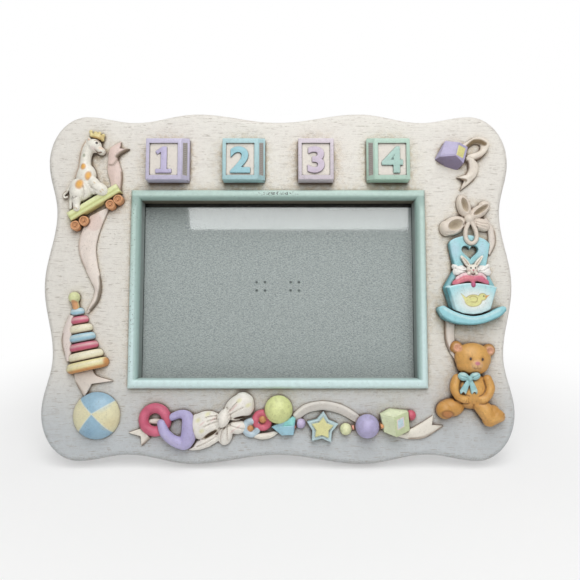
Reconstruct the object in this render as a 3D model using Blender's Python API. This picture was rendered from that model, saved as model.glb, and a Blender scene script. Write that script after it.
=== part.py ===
"""Baby photo frame: a landscape picture frame with nursery reliefs that stands on an easel leg.

Everything is modelled flat, in the frame's own plane, and then leaned back as it stands:
u (local X) runs right, v (local Y) up the face, and n (local Z) out of it. The centre of the
window is u = v = 0 and the flat back is n = 0. The two rails beside the window, the rail
above it and the rail below it each carry an empty, and the reliefs are placed from it.
"""

import math

import bmesh
import bpy
from mathutils import Matrix, Vector
from mathutils.bvhtree import BVHTree

for old in list(bpy.data.objects):
    bpy.data.objects.remove(old, do_unlink=True)

# Clearances, in metres like every size here
GAP = 0.0003
RELIEF_GAP = 0.00042

# How the frame stands, in degrees
LEAN_DEG = 15.0
LEG_OPEN_DEG = 25.0

# Outline of the cast body: waves along all four edges and four round corners
BODY_W = 0.2494
BODY_H = 0.1876
OUTLINE_RISE = 0.0020
CREST_U = 0.0440
CENTRE_DIP = 0.0047
TROUGH_DIP = 0.0048
TROUGH_TO_CORNER = 0.0260
CORNER_DIP = 0.0015
CORNER_RU = 0.0203
CORNER_RV = 0.0253
SIDE_TROUGH_TO_CORNER = 0.0290
SIDE_DIP = 0.0055
SIDE_CORNER_DIP = 0.0004
FRONT_ROUND = 0.0032
CORNER_STEPS = 7

# Window, its moulding, and what is held behind it
WINDOW_W = 0.1460
WINDOW_H = 0.0944
BEAD_W = 0.0053
BEAD_H = 0.0044
BEAD_FOOT = 0.0010
SLEEVE_T = 0.0020
LIP_T = 0.0070
PANEL_W = 0.1530
PANEL_H = 0.1022
GLASS_T = 0.0020
BOARD_T = 0.0035
BOARD_CORNER = 0.0015

# Turn buttons that hold the back panel in, with their screws
BUTTON_FROM_PANEL = 0.0070
BUTTON_REACH = 0.0120
BUTTON_W = 0.0070
BUTTON_T = 0.0008
SCREW_R = 0.0014
SCREW_HEAD_R = 0.0030
SCREW_HEAD_H = 0.0013
SCREW_DEPTH = 0.0055

# Easel leg and the sheet-metal hinge with its stop
HINGE_V = -0.0050
LEAF_W = 0.0300
LEAF_T = 0.0008
FIXED_LEAF_H = 0.0120
LEG_LEAF_H = 0.0140
PIN_R = 0.0008
KNUCKLES = 5
LEG_T = 0.0025
LEG_TOP_W = 0.0320
LEG_FOOT_W = 0.0460

# Toy blocks of the top row
BLOCK_W = 0.0188
BLOCK_H = 0.0222
BLOCK_DEPTH = 0.0072
BLOCK_FRAME = 0.0022
BLOCK_PANEL_DEPTH = 0.0011
BLOCK_SIDE_W = 0.0038
BLOCK_SIDE_DROP = 0.0040
BLOCK_TOP_RISE = 0.0013

# Round toys
BALL_R = 0.0123
BALL_H = 0.0072
WHEEL_R = 0.00265
WHEEL_H = 0.0042
STACK_RING_T = 0.0043
STACK_RELIEF = 0.62

# Reliefs: the unit that they are drawn in, how far each row sits from the middle of its rail,
# and how far the widest of them stay from the moulding
RELIEF_UNIT = 0.0010
SIDE_ROW_INSET = 0.0015
TOP_ROW_DROP = 0.00615
BOTTOM_ROW_LIFT = 0.00215
CART_CLEARANCE = 0.0048
ROCKER_CLEARANCE = 0.0041

# Places that follow from the sizes above
BODY_T = LIP_T + GAP + GLASS_T + GAP + BOARD_T
SEAT = BODY_T + GAP
MOULD_U = WINDOW_W / 2 + BEAD_W
MOULD_V = WINDOW_H / 2 + BEAD_W
LOWEST_V = OUTLINE_RISE - BODY_H / 2
HIGHEST_V = OUTLINE_RISE + BODY_H / 2
SIDE_RAIL_U = (MOULD_U + BODY_W / 2) / 2 - SIDE_ROW_INSET
TOP_RAIL_V = (MOULD_V + HIGHEST_V) / 2 - TOP_ROW_DROP
BOTTOM_RAIL_V = (LOWEST_V - MOULD_V) / 2 + BOTTOM_ROW_LIFT
SIDE_ROOM = SIDE_RAIL_U - MOULD_U
BUTTON_U = PANEL_W / 2 + BUTTON_FROM_PANEL
KNUCKLE_R = PIN_R + GAP + LEAF_T
HINGE_N = -(GAP + KNUCKLE_R)


def mm(*values):
    """The values, drawn in millimetres, in metres at the reliefs' scale."""
    return tuple(value * RELIEF_UNIT for value in values)


def paint(name, red, green, blue, roughness=0.6, metallic=0.0):
    """A material from a colour of 0 to 255 as it looks on the object."""
    material = bpy.data.materials.new(name)
    material.use_nodes = True
    shader = material.node_tree.nodes["Principled BSDF"]
    linear = [((c / 255 + 0.055) / 1.055) ** 2.4 for c in (red, green, blue)]
    shader.inputs["Base Color"].default_value = (*linear, 1.0)
    shader.inputs["Roughness"].default_value = roughness
    shader.inputs["Metallic"].default_value = metallic
    return material


def empty(name, parent=None, at=(0.0, 0.0, 0.0), tilt=0.0):
    """A guide that carries other objects, turned about X by tilt."""
    guide = bpy.data.objects.new(name, None)
    bpy.context.collection.objects.link(guide)
    guide.parent = parent
    guide.location = at
    guide.rotation_euler.x = tilt
    return guide


def piece(name, bm, material, parent, at=(0.0, 0.0, 0.0), turn=0.0, smooth=True):
    """Makes the mesh an object; at is its place under the parent, turn its angle in the plane."""
    bmesh.ops.recalc_face_normals(bm, faces=bm.faces)
    mesh = bpy.data.meshes.new(name)
    bm.to_mesh(mesh)
    bm.free()
    if smooth:
        mesh.shade_smooth()
        mesh.set_sharp_from_angle(angle=math.radians(40))
    if material:
        mesh.materials.append(material)
    made = bpy.data.objects.new(name, mesh)
    bpy.context.collection.objects.link(made)
    made.parent = parent
    made.location = at
    made.rotation_euler.z = math.radians(turn)
    return made


def as_cutter(made):
    """Marks an object as a tool that only shapes others."""
    made.hide_render = True
    made.display_type = "WIRE"
    return made


def boolean(target, tool, operation):
    modifier = target.modifiers.new(operation.title(), "BOOLEAN")
    modifier.solver = "EXACT"
    modifier.operation = operation
    modifier.object = tool


def box(bm, low, high):
    """Adds a box between two corners."""
    corners = bmesh.ops.create_cube(bm, size=1.0)["verts"]
    for vert in corners:
        vert.co = Vector(high[k] if vert.co[k] > 0 else low[k] for k in range(3))


def slab(outline, height, bevel=0.0, segments=1):
    """A flat outline raised to a height, its front edges bevelled."""
    bm = bmesh.new()
    base = bm.faces.new([bm.verts.new((u, v, 0.0)) for u, v in outline])
    raised = bmesh.ops.extrude_face_region(bm, geom=[base])["geom"]
    verts = [part for part in raised if isinstance(part, bmesh.types.BMVert)]
    front = [part for part in raised if isinstance(part, bmesh.types.BMFace)][0]
    bmesh.ops.translate(bm, verts=verts, vec=(0.0, 0.0, height))
    if bevel:
        bmesh.ops.bevel(
            bm, geom=list(front.edges), offset=bevel, segments=segments, profile=0.5,
            affect="EDGES", clamp_overlap=True,
        )
    return bm


def lathe(profile, steps):
    """Turns a profile of (radius, height) points about Z."""
    bm = bmesh.new()
    verts = [bm.verts.new((r, 0.0, z)) for r, z in profile]
    edges = [bm.edges.new(pair) for pair in zip(verts, verts[1:])]
    if profile[0][0] > 0 and profile[-1][0] > 0:
        edges.append(bm.edges.new((verts[-1], verts[0])))
    bmesh.ops.spin(
        bm, geom=verts + edges, cent=(0, 0, 0), axis=(0, 0, 1), angle=math.tau,
        steps=steps, use_merge=True,
    )
    bmesh.ops.remove_doubles(bm, verts=bm.verts, dist=0.000002)
    return bm


def dome_profile(radius, height, centre, rings):
    """Profile of a ball with its centre at a height, cut flat at the base."""
    semi = height - centre
    last = math.acos(-centre / semi)
    turned = [last * k / rings for k in range(rings + 1)]
    return [(radius * math.sin(a), centre + semi * math.cos(a)) for a in turned] + [(0.0, 0.0)]


def hoop_profile(middle, tube, centre, rings):
    """Profile of a ring of round section with its centre at a height, cut flat at the base."""
    start = -math.asin(centre / tube)
    span = math.pi - 2 * start
    angles = [start + span * k / rings for k in range(rings + 1)]
    return [(middle + tube * math.cos(a), centre + tube * math.sin(a)) for a in angles]


def join(made, *others):
    """Unites a piece with others that it is cast in one with."""
    for other in others:
        boolean(made, as_cutter(other), "UNION")
    return made


def ball(name, material, rail, at, radius, height, centre=0.0, steps=16, rings=5):
    """A painted ball or bead, cast half sunk in the face."""
    bm = lathe(dome_profile(radius, height, centre, rings), steps)
    return piece(name, bm, material, rail, at)


def hoop(name, material, rail, at, outer, tube, steps=20, rings=6):
    """A teething ring of round section."""
    bm = lathe(hoop_profile(outer - tube, tube, tube * 0.55, rings), steps)
    return piece(name, bm, material, rail, at)


def smooth_line(points, steps, plain_ends=(False, False)):
    """Points along a smooth curve through the given ones; a plain end span isn't divided."""
    points = [Vector(p) for p in points]
    line = [points[0]]
    last = len(points) - 2
    for k in range(last + 1):
        before = points[max(k - 1, 0)]
        after = points[min(k + 2, last + 1)]
        plain = (k == 0 and plain_ends[0]) or (k == last and plain_ends[1])
        count = 1 if plain else steps
        for j in range(1, count + 1):
            t = j / count
            p, q = points[k], points[k + 1]
            line.append(
                0.5 * (2 * p + (q - before) * t + (2 * before - 5 * p + 4 * q - after) * t**2
                       + (3 * p - before - 3 * q + after) * t**3)
            )
    return line


def ribbon(name, material, rail, edges, crest=1.9, edge=1.0, forks=(0.0, 0.0), steps=3):
    """A stretch of ribbon lying on the face, from pairs of edge points in mm.

    It is crest mm thick along its middle and edge mm at its edges. A fork is how deep a
    swallow-tail end is cut in.
    """
    plain = (forks[0] > 0, forks[1] > 0)
    left = smooth_line([mm(*pair[0]) for pair in edges], steps, plain)
    right = smooth_line([mm(*pair[1]) for pair in edges], steps, plain)
    middle = [(a + b) / 2 for a, b in zip(left, right)]
    middle[0] = middle[0] + (middle[1] - middle[0]).normalized() * mm(forks[0])[0]
    middle[-1] = middle[-1] + (middle[-2] - middle[-1]).normalized() * mm(forks[1])[0]
    bm = bmesh.new()
    rows = []
    for line, height in ((left, edge), (middle, crest), (right, edge)):
        rows.append([bm.verts.new((p.x, p.y, *mm(height))) for p in line])
    top = []
    for first, second in zip(rows, rows[1:]):
        for k in range(len(first) - 1):
            top.append(bm.faces.new((first[k], second[k], second[k + 1], first[k + 1])))
    lowered = bmesh.ops.extrude_face_region(bm, geom=top)["geom"]
    for part in lowered:
        if isinstance(part, bmesh.types.BMVert):
            part.co.z = 0.0
    return piece(name, bm, material, rail)


def lobe(bm, centre, size, turn=0.0, steps=10):
    """Adds an egg shape: centre and half sizes in mm, turned in the plane by degrees."""
    place = Matrix.Translation(mm(*centre)) @ Matrix.Rotation(math.radians(turn), 4, "Z")
    place = place @ Matrix.Diagonal((*mm(*size), 1.0))
    bmesh.ops.create_uvsphere(
        bm, u_segments=steps, v_segments=steps * 2 // 3, radius=1.0, matrix=place
    )


def modelled(name, material, rail, at, lobes, pockets=(), steps=10):
    """A figure built up from egg-shaped lobes, hollowed by pockets and cut flat at the face."""
    start = bmesh.new()
    lobe(start, *lobes[0], steps=steps)
    figure = piece(name, start, material, rail, at)
    for number, shape in enumerate(lobes[1:] + tuple(pockets), 2):
        bm = bmesh.new()
        lobe(bm, *shape, steps=steps)
        kind = "lobe" if number <= len(lobes) else "pocket"
        tool = as_cutter(piece(f"{name}_{kind}_{number}", bm, None, rail, at))
        boolean(figure, tool, "UNION" if kind == "lobe" else "DIFFERENCE")
    bm = bmesh.new()
    box(bm, mm(-60, -60, 0), mm(60, 60, 40))
    half_space = as_cutter(piece(f"{name}_in_front_of_face", bm, None, rail, at))
    boolean(figure, half_space, "INTERSECT")
    return figure


def finished_mesh(made):
    """The object's mesh after its modifiers, as a new mesh."""
    bpy.context.view_layer.update()
    graph = bpy.context.evaluated_depsgraph_get()
    return bpy.data.meshes.new_from_object(made.evaluated_get(graph), depsgraph=graph)


def surface_tree(mesh, matrix):
    """A search tree of a mesh in world space."""
    places = [matrix @ vert.co for vert in mesh.vertices]
    return BVHTree.FromPolygons(places, [tuple(face.vertices) for face in mesh.polygons])


def trim(made, *neighbours):
    """Cuts a piece back, with clearance, from each neighbour that lies over it."""
    for neighbour in neighbours:
        bm = bmesh.new()
        bm.from_mesh(finished_mesh(neighbour))
        bm.normal_update()
        for vert, normal in [(vert, vert.normal.copy()) for vert in bm.verts]:
            vert.co += normal * RELIEF_GAP
        name = f"{made.name}_clear_of_{neighbour.name}"
        tool = piece(name, bm, None, neighbour.parent, neighbour.location, smooth=False)
        tool.rotation_euler = neighbour.rotation_euler
        as_cutter(tool)
        own = surface_tree(finished_mesh(made), made.matrix_world)
        if own.overlap(surface_tree(tool.data, tool.matrix_world)):
            boolean(made, tool, "DIFFERENCE")
        else:
            bpy.data.objects.remove(tool)
    return made


# Paints and metals
CREAM_FACE = paint("antiqued_cream", 216, 212, 205)
AQUA = paint("aqua_moulding", 184, 220, 214)
GLASS = paint("clear_glass", 190, 200, 198, roughness=0.05)
FELT = paint("grey_linen", 152, 163, 160, roughness=0.95)
METAL = paint("zinc_plate", 168, 168, 166, roughness=0.35, metallic=1.0)
HARDBOARD = paint("dark_hardboard", 74, 62, 54, roughness=0.8)
LILAC = paint("lilac", 200, 192, 222)
BLUE = paint("powder_blue", 168, 206, 222)
PINK = paint("rose_pink", 208, 104, 128)
PALE_PINK = paint("pale_pink", 222, 212, 216)
GREEN = paint("pale_green", 192, 216, 204)
YELLOW_GREEN = paint("yellow_green", 214, 222, 150)
YELLOW = paint("butter_yellow", 232, 224, 166)
ORANGE = paint("apricot", 224, 156, 104)
RIBBON = paint("ribbon_cream", 236, 226, 216)
WHITE = paint("warm_white", 240, 236, 228)
FUR = paint("honey_brown", 206, 152, 84)
DUSTY_BLUE = paint("cradle_blue", 166, 214, 226)


def ease(start, end, steps):
    """Points from start up to end, level at both, along half a cosine wave."""
    (a, p), (b, q) = start, end
    waves = [(k / steps, (1 - math.cos(math.pi * k / steps)) / 2) for k in range(steps)]
    return [(a + (b - a) * t, p + (q - p) * w) for t, w in waves]


def body_outline():
    """The body's outline, clockwise from the top, worked out for one quarter and mirrored."""
    half_w, half_h = BODY_W / 2, BODY_H / 2
    corner_u = half_w - SIDE_CORNER_DIP - CORNER_RU
    corner_v = half_h - CORNER_DIP - CORNER_RV
    crest = (CREST_U, half_h)
    trough = (corner_u - TROUGH_TO_CORNER, half_h - TROUGH_DIP)
    quarter = ease((0.0, half_h - CENTRE_DIP), crest, 5)
    quarter += ease(crest, trough, 4)
    quarter += ease(trough, (corner_u, half_h - CORNER_DIP), 3)
    for k in range(CORNER_STEPS):
        turn = math.pi / 2 * (1 - k / CORNER_STEPS)
        quarter.append((corner_u + CORNER_RU * math.cos(turn), corner_v + CORNER_RV * math.sin(turn)))
    side_trough = (corner_v - SIDE_TROUGH_TO_CORNER, half_w - SIDE_DIP)
    side = ease((corner_v, half_w - SIDE_CORNER_DIP), side_trough, 4)
    side += ease(side_trough, (0.0, half_w), 4)
    quarter += [(u, v) for v, u in side] + [(half_w, 0.0)]
    loop = quarter + [(u, -v) for u, v in reversed(quarter[:-1])]
    loop += [(-u, -v) for u, v in quarter[1:]] + [(-u, v) for u, v in reversed(quarter[1:-1])]
    return [(u, v + OUTLINE_RISE) for u, v in loop]


def frame_body(pose):
    """The cast body, with the window, the rebate behind it and the screws' holes cut in."""
    body = piece(
        "frame_body", slab(body_outline(), BODY_T, FRONT_ROUND, 2), CREAM_FACE, pose
    )
    sleeve = SLEEVE_T + GAP
    cut = bmesh.new()
    box(
        cut, (-WINDOW_W / 2 - sleeve, -WINDOW_H / 2 - sleeve, -BODY_T),
        (WINDOW_W / 2 + sleeve, WINDOW_H / 2 + sleeve, 2 * BODY_T),
    )
    boolean(body, as_cutter(piece("window_cut", cut, None, pose)), "DIFFERENCE")
    cut = bmesh.new()
    box(
        cut, (-PANEL_W / 2 - GAP, -PANEL_H / 2 - GAP, -BODY_T),
        (PANEL_W / 2 + GAP, PANEL_H / 2 + GAP, BODY_T - LIP_T),
    )
    boolean(body, as_cutter(piece("rebate_cut", cut, None, pose)), "DIFFERENCE")
    depth = SCREW_DEPTH + GAP
    for number, u in enumerate((-BUTTON_U, BUTTON_U), 1):
        cut = lathe([(0, depth), (SCREW_R + GAP, depth), (SCREW_R + GAP, -depth), (0, -depth)], 10)
        hole = piece(f"screw_hole_{number}", cut, None, pose, (u, 0.0, 0.0))
        boolean(body, as_cutter(hole), "DIFFERENCE")
    return body


def window_moulding(pose):
    """A round bead on the face and a sleeve down the window's walls, mitred at the corners."""
    profile = [(0.0, -LIP_T)]
    for k in range(9):
        turn = math.pi * k / 8
        rise = BEAD_FOOT + (BEAD_H - BEAD_FOOT) * math.sin(turn)
        profile.append((BEAD_W / 2 * (1 - math.cos(turn)), rise))
    profile += [(BEAD_W, GAP), (SLEEVE_T, GAP), (SLEEVE_T, -LIP_T)]
    bm = bmesh.new()
    corners = []
    for right, up in ((1, 1), (-1, 1), (-1, -1), (1, -1)):
        places = [
            (right * (WINDOW_W / 2 + out), up * (WINDOW_H / 2 + out), BODY_T + height)
            for out, height in profile
        ]
        corners.append([bm.verts.new(place) for place in places])
    for k, corner in enumerate(corners):
        following = corners[(k + 1) % 4]
        for j in range(len(profile)):
            i = (j + 1) % len(profile)
            bm.faces.new((corner[j], corner[i], following[i], following[j]))
    return piece("window_moulding", bm, AQUA, pose)


def glass_and_board(pose):
    """The pane, and the fabric-covered back panel whose rear is flush with the body's."""
    bm = bmesh.new()
    box(bm, (-PANEL_W / 2, -PANEL_H / 2, 0.0), (PANEL_W / 2, PANEL_H / 2, GLASS_T))
    piece("glass_pane", bm, GLASS, pose, (0.0, 0.0, BOARD_T + GAP))
    w, h, cut = PANEL_W / 2, PANEL_H / 2, BOARD_CORNER
    outline = [
        (w - cut, h), (-w + cut, h), (-w, h - cut), (-w, -h + cut),
        (-w + cut, -h), (w - cut, -h), (w, -h + cut), (w, h - cut),
    ]
    piece("back_panel", slab(outline, BOARD_T), FELT, pose)


def turn_buttons(pose):
    """Sheet-metal tabs that turn over the back panel, each on its own screw."""
    under = -BUTTON_T - 2 * GAP
    screw = [
        (0.0, SCREW_DEPTH), (SCREW_R, SCREW_DEPTH - SCREW_R), (SCREW_R, under),
        (SCREW_HEAD_R, under), (SCREW_HEAD_R * 0.75, under - SCREW_HEAD_H * 0.8),
        (0.0, under - SCREW_HEAD_H),
    ]
    radius = BUTTON_W / 2
    hole = SCREW_R + GAP
    bore = [(0, BUTTON_W), (hole, BUTTON_W), (hole, -BUTTON_W), (0, -BUTTON_W)]
    for number, side in enumerate((-1, 1), 1):
        place = (side * BUTTON_U, 0.0, 0.0)
        outline = []
        for far, start in ((0.0, math.pi / 2), (BUTTON_REACH - radius, -math.pi / 2)):
            for turn in (start + math.pi * k / 8 for k in range(9)):
                outline.append((-side * (far + radius * math.cos(turn)), radius * math.sin(turn)))
        tab = piece(
            f"turn_button_{number}", slab(outline, BUTTON_T), METAL, pose,
            (side * BUTTON_U, 0.0, -GAP - BUTTON_T),
        )
        cut = as_cutter(piece(f"button_hole_{number}", lathe(bore, 12), None, pose, place))
        boolean(tab, cut, "DIFFERENCE")
        piece(f"button_screw_{number}", lathe(screw, 10), METAL, pose, place)


def knuckle_spans(first):
    """The u ranges of every second knuckle, from the first (0) or the second (1)."""
    pitch = (LEAF_W + GAP) / KNUCKLES
    starts = [-LEAF_W / 2 + pitch * k for k in range(first, KNUCKLES, 2)]
    return [(start, start + pitch - GAP) for start in starts]


def leaf(name, parent, spans, foot, shoulder, tooth):
    """One hinge leaf: a plate whose teeth roll into knuckles, about the pin's axis at v = n = 0.

    The plate runs from foot to shoulder and its teeth go on past the pin to tooth.
    """
    half = LEAF_W / 2
    sign = 1 if foot > 0 else -1
    outline = [(half, foot), (-half, foot)]
    for start, end in spans:
        outline += [(start, shoulder), (start, tooth), (end, tooth), (end, shoulder)]
    outline += [(half, shoulder)]
    outline = [p for k, p in enumerate(outline) if k == 0 or p != outline[k - 1]]
    if spans[0][0] > -half:
        outline.insert(2, (-half, shoulder))
    plate_n = KNUCKLE_R - LEAF_T if sign > 0 else -KNUCKLE_R
    bm = slab(outline, LEAF_T)
    bmesh.ops.translate(bm, verts=bm.verts, vec=(0.0, 0.0, plate_n))
    made = piece(name, bm, METAL, parent, smooth=False)
    for number, (start, end) in enumerate(spans, 1):
        boolean(made, axle_tool(f"{name}_knuckle_{number}", parent, start, end, KNUCKLE_R), "UNION")
    boolean(made, axle_tool(f"{name}_bore", parent, -LEAF_W, LEAF_W, PIN_R + GAP), "DIFFERENCE")
    return made


def axle(start, end, radius, steps=14):
    """A rod along X."""
    bm = lathe([(0.0, start), (radius, start), (radius, end), (0.0, end)], steps)
    bmesh.ops.rotate(bm, verts=bm.verts, cent=(0, 0, 0), matrix=Matrix.Rotation(math.pi / 2, 3, "Y"))
    return bm


def axle_tool(name, parent, start, end, radius):
    return as_cutter(piece(name, axle(start, end, radius), None, parent))


def heel_length():
    """How far the leg leaf's teeth pass the pin, to bear on the fixed leaf when the leg is open."""
    opened = math.radians(LEG_OPEN_DEG)
    inner = KNUCKLE_R - LEAF_T
    return (inner - GAP + inner * math.cos(opened)) / math.sin(opened)


def easel(pose):
    """The hinge on the back panel and the leg, open against its stop."""
    axis = empty("hinge_axis", pose, (0.0, HINGE_V, HINGE_N))
    leg_axis = empty("leg_axis", axis, tilt=math.radians(LEG_OPEN_DEG))
    shoulder = KNUCKLE_R + GAP
    leaf("hinge_fixed_leaf", axis, knuckle_spans(0), FIXED_LEAF_H, shoulder, 0.0)
    leaf("hinge_leg_leaf", leg_axis, knuckle_spans(1), -LEG_LEAF_H, -shoulder, heel_length())
    piece("hinge_pin", axle(-LEAF_W / 2 - GAP, LEAF_W / 2 + GAP, PIN_R, 12), METAL, axis)

    lean, steep = math.radians(LEAN_DEG), math.radians(LEG_OPEN_DEG - LEAN_DEG)
    pin_height = (HINGE_V - LOWEST_V) * math.cos(lean) + HINGE_N * math.sin(lean)
    reach = pin_height / math.cos(steep)
    below = reach + LEG_T
    spread = LEG_TOP_W / 2 + (LEG_FOOT_W - LEG_TOP_W) / 2 * below / reach
    outline = [
        (LEG_TOP_W / 2, -shoulder), (-LEG_TOP_W / 2, -shoulder), (-spread, -below), (spread, -below)
    ]
    bm = slab(outline, LEG_T)
    outer = LEAF_T + GAP - KNUCKLE_R
    bmesh.ops.translate(bm, verts=bm.verts, vec=(0.0, 0.0, outer))
    ground = Vector((0.0, math.cos(steep), -math.sin(steep)))
    bmesh.ops.bisect_plane(
        bm, geom=list(bm.verts) + list(bm.edges) + list(bm.faces),
        plane_co=(0.0, -reach, 0.0), plane_no=ground, clear_inner=True,
    )
    bmesh.ops.holes_fill(bm, edges=[edge for edge in bm.edges if edge.is_boundary])
    piece("easel_leg", bm, HARDBOARD, leg_axis, smooth=False)


def toy_block(name, material, rail, u, side):
    """A toy block seen a little from above; side is 1, -1 or 0 for the side that shows."""
    half_w, half_h = BLOCK_W / 2, BLOCK_H / 2
    left = half_w + (BLOCK_SIDE_W if side < 0 else 0.0)
    right = half_w + (BLOCK_SIDE_W if side > 0 else 0.0)
    bm = bmesh.new()
    front = [(half_w, half_h), (-half_w, half_h), (-half_w, -half_h), (half_w, -half_h)]
    lean = BLOCK_TOP_RISE
    foot = [(right, half_h + lean), (-left, half_h + lean), (-left, -half_h), (right, -half_h)]
    rows = []
    for ring, height in (
        (foot, 0.0), (foot, BLOCK_DEPTH - BLOCK_SIDE_DROP), (front, BLOCK_DEPTH)
    ):
        rows.append([bm.verts.new((x, y, height)) for x, y in ring])
    bm.faces.new(rows[0])
    shown = bm.faces.new(rows[2])
    panels = [(shown, BLOCK_FRAME, BLOCK_PANEL_DEPTH)]
    for lower, upper in zip(rows, rows[1:]):
        for k in range(4):
            j = (k + 1) % 4
            wall = bm.faces.new((lower[k], lower[j], upper[j], upper[k]))
            slanted = upper is rows[2]
            if slanted and ((side > 0 and k == 3) or (side < 0 and k == 1)):
                panels.append((wall, BLOCK_SIDE_W * 0.25, BLOCK_PANEL_DEPTH * 0.5))
    bmesh.ops.recalc_face_normals(bm, faces=bm.faces)
    for face, rim, depth in panels:
        bmesh.ops.inset_individual(bm, faces=[face], thickness=rim, use_even_offset=True)
        sunk = bmesh.ops.extrude_discrete_faces(bm, faces=[face])["faces"]
        bmesh.ops.translate(bm, verts=sunk[0].verts, vec=sunk[0].normal * -depth)
    bmesh.ops.remove_doubles(bm, verts=bm.verts, dist=0.000001)
    return piece(name, bm, material, rail, (u, 0.0, 0.0), smooth=False)


def hull(name, material, rail, points, bevel):
    """A faceted toy: the smallest solid round the corner points, all given in mm."""
    bm = bmesh.new()
    for point in points:
        bm.verts.new(mm(*point))
    result = bmesh.ops.convex_hull(bm, input=bm.verts)
    loose = [part for part in result["geom_interior"] if isinstance(part, bmesh.types.BMVert)]
    bmesh.ops.delete(bm, geom=loose, context="VERTS")
    bmesh.ops.dissolve_limit(bm, angle_limit=math.radians(2), verts=bm.verts, edges=bm.edges)
    raised = [e for e in bm.edges if min(vert.co.z for vert in e.verts) > mm(bevel)[0]]
    bmesh.ops.bevel(
        bm, geom=raised, offset=mm(bevel)[0], segments=1, profile=0.5, affect="EDGES"
    )
    return piece(name, bm, material, rail, smooth=False)


def star_points(outer, inner, turn_deg):
    """A five-pointed star's outline, radii in metres."""
    spots = []
    for k in range(10):
        radius = inner if k % 2 else outer
        turn = math.radians(turn_deg + 36 * k)
        spots.append((radius * math.cos(turn), radius * math.sin(turn)))
    return spots


def giraffe_and_cart(rail):
    """The giraffe that sits on a tilted pull-along cart with four wheels.

    The cart's length follows from the rail: its lower right corner keeps CART_CLEARANCE. A
    wheel's place is a share of half that length, and how far it is under the deck's middle.
    """
    tilt = math.radians(31.5)
    middle = Vector(mm(2.0, 45.6))
    low, high = mm(-3.4, 2.6)
    half = (SIDE_ROOM - CART_CLEARANCE - middle.x + low * math.sin(tilt)) / math.cos(tilt)
    deck = slab([(-half, low), (half, low), (half, high), (-half, high)], *mm(4.6, 0.9), 2)
    cart = piece("pull_cart", deck, YELLOW_GREEN, rail, (*middle, 0.0), math.degrees(tilt))
    wheel = [
        (0.0, WHEEL_H), (WHEEL_R * 0.8, WHEEL_H), (WHEEL_R, WHEEL_H * 0.85), (WHEEL_R, 0.0), (0.0, 0.0)
    ]
    turned = Matrix.Rotation(tilt, 2)
    wheels = ((-0.94, -5.8), (-0.61, -6.0), (0.46, -5.7), (0.77, -5.5))
    for number, (share, under) in enumerate(wheels, 1):
        place = middle + turned @ Vector((share * half, *mm(under)))
        join(cart, piece(f"cart_wheel_{number}", lathe(wheel, 14), None, rail, (*place, 0.0)))
    seat = (0.0, 0.060, 0.0)
    giraffe = modelled("giraffe", WHITE, rail, seat, (
        ((-3.2, -0.8, 1.5), (5.2, 8.0, 4.2), -12),
        ((-6.4, -6.0, 2.2), (5.0, 5.4, 4.4), 0),
        ((-2.3, 10.2, 1.4), (2.9, 8.4, 3.0), -6),
        ((1.2, 17.6, 1.8), (3.6, 3.1, 3.0), -15),
        ((4.6, 15.4, 1.8), (2.9, 2.1, 2.5), -28),
        ((-2.0, 20.4, 1.0), (1.2, 1.9, 1.6), 40),
        ((1.6, -2.6, 2.4), (3.4, 5.8, 3.8), 32),
        ((4.6, -6.6, 3.2), (4.8, 2.6, 3.4), 24),
        ((-6.2, -13.6, 3.2), (2.2, 5.6, 3.2), 6),
        ((-9.4, -13.2, 1.6), (1.9, 4.8, 2.6), 6),
        ((-12.2, -9.6, 0.6), (3.6, 1.2, 1.5), -14),
    ), steps=9)
    trim(giraffe, cart)
    tuft = modelled("giraffe_tuft", YELLOW, rail, seat, (
        ((1.6, 22.4, 1.2), (3.2, 1.5, 1.6), -12),
        ((-0.4, 23.4, 1.2), (1.0, 2.0, 1.4), 12),
        ((3.2, 23.4, 1.2), (1.0, 2.0, 1.4), -14),
    ), steps=9)
    trim(tuft, giraffe)
    return cart, giraffe


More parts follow.
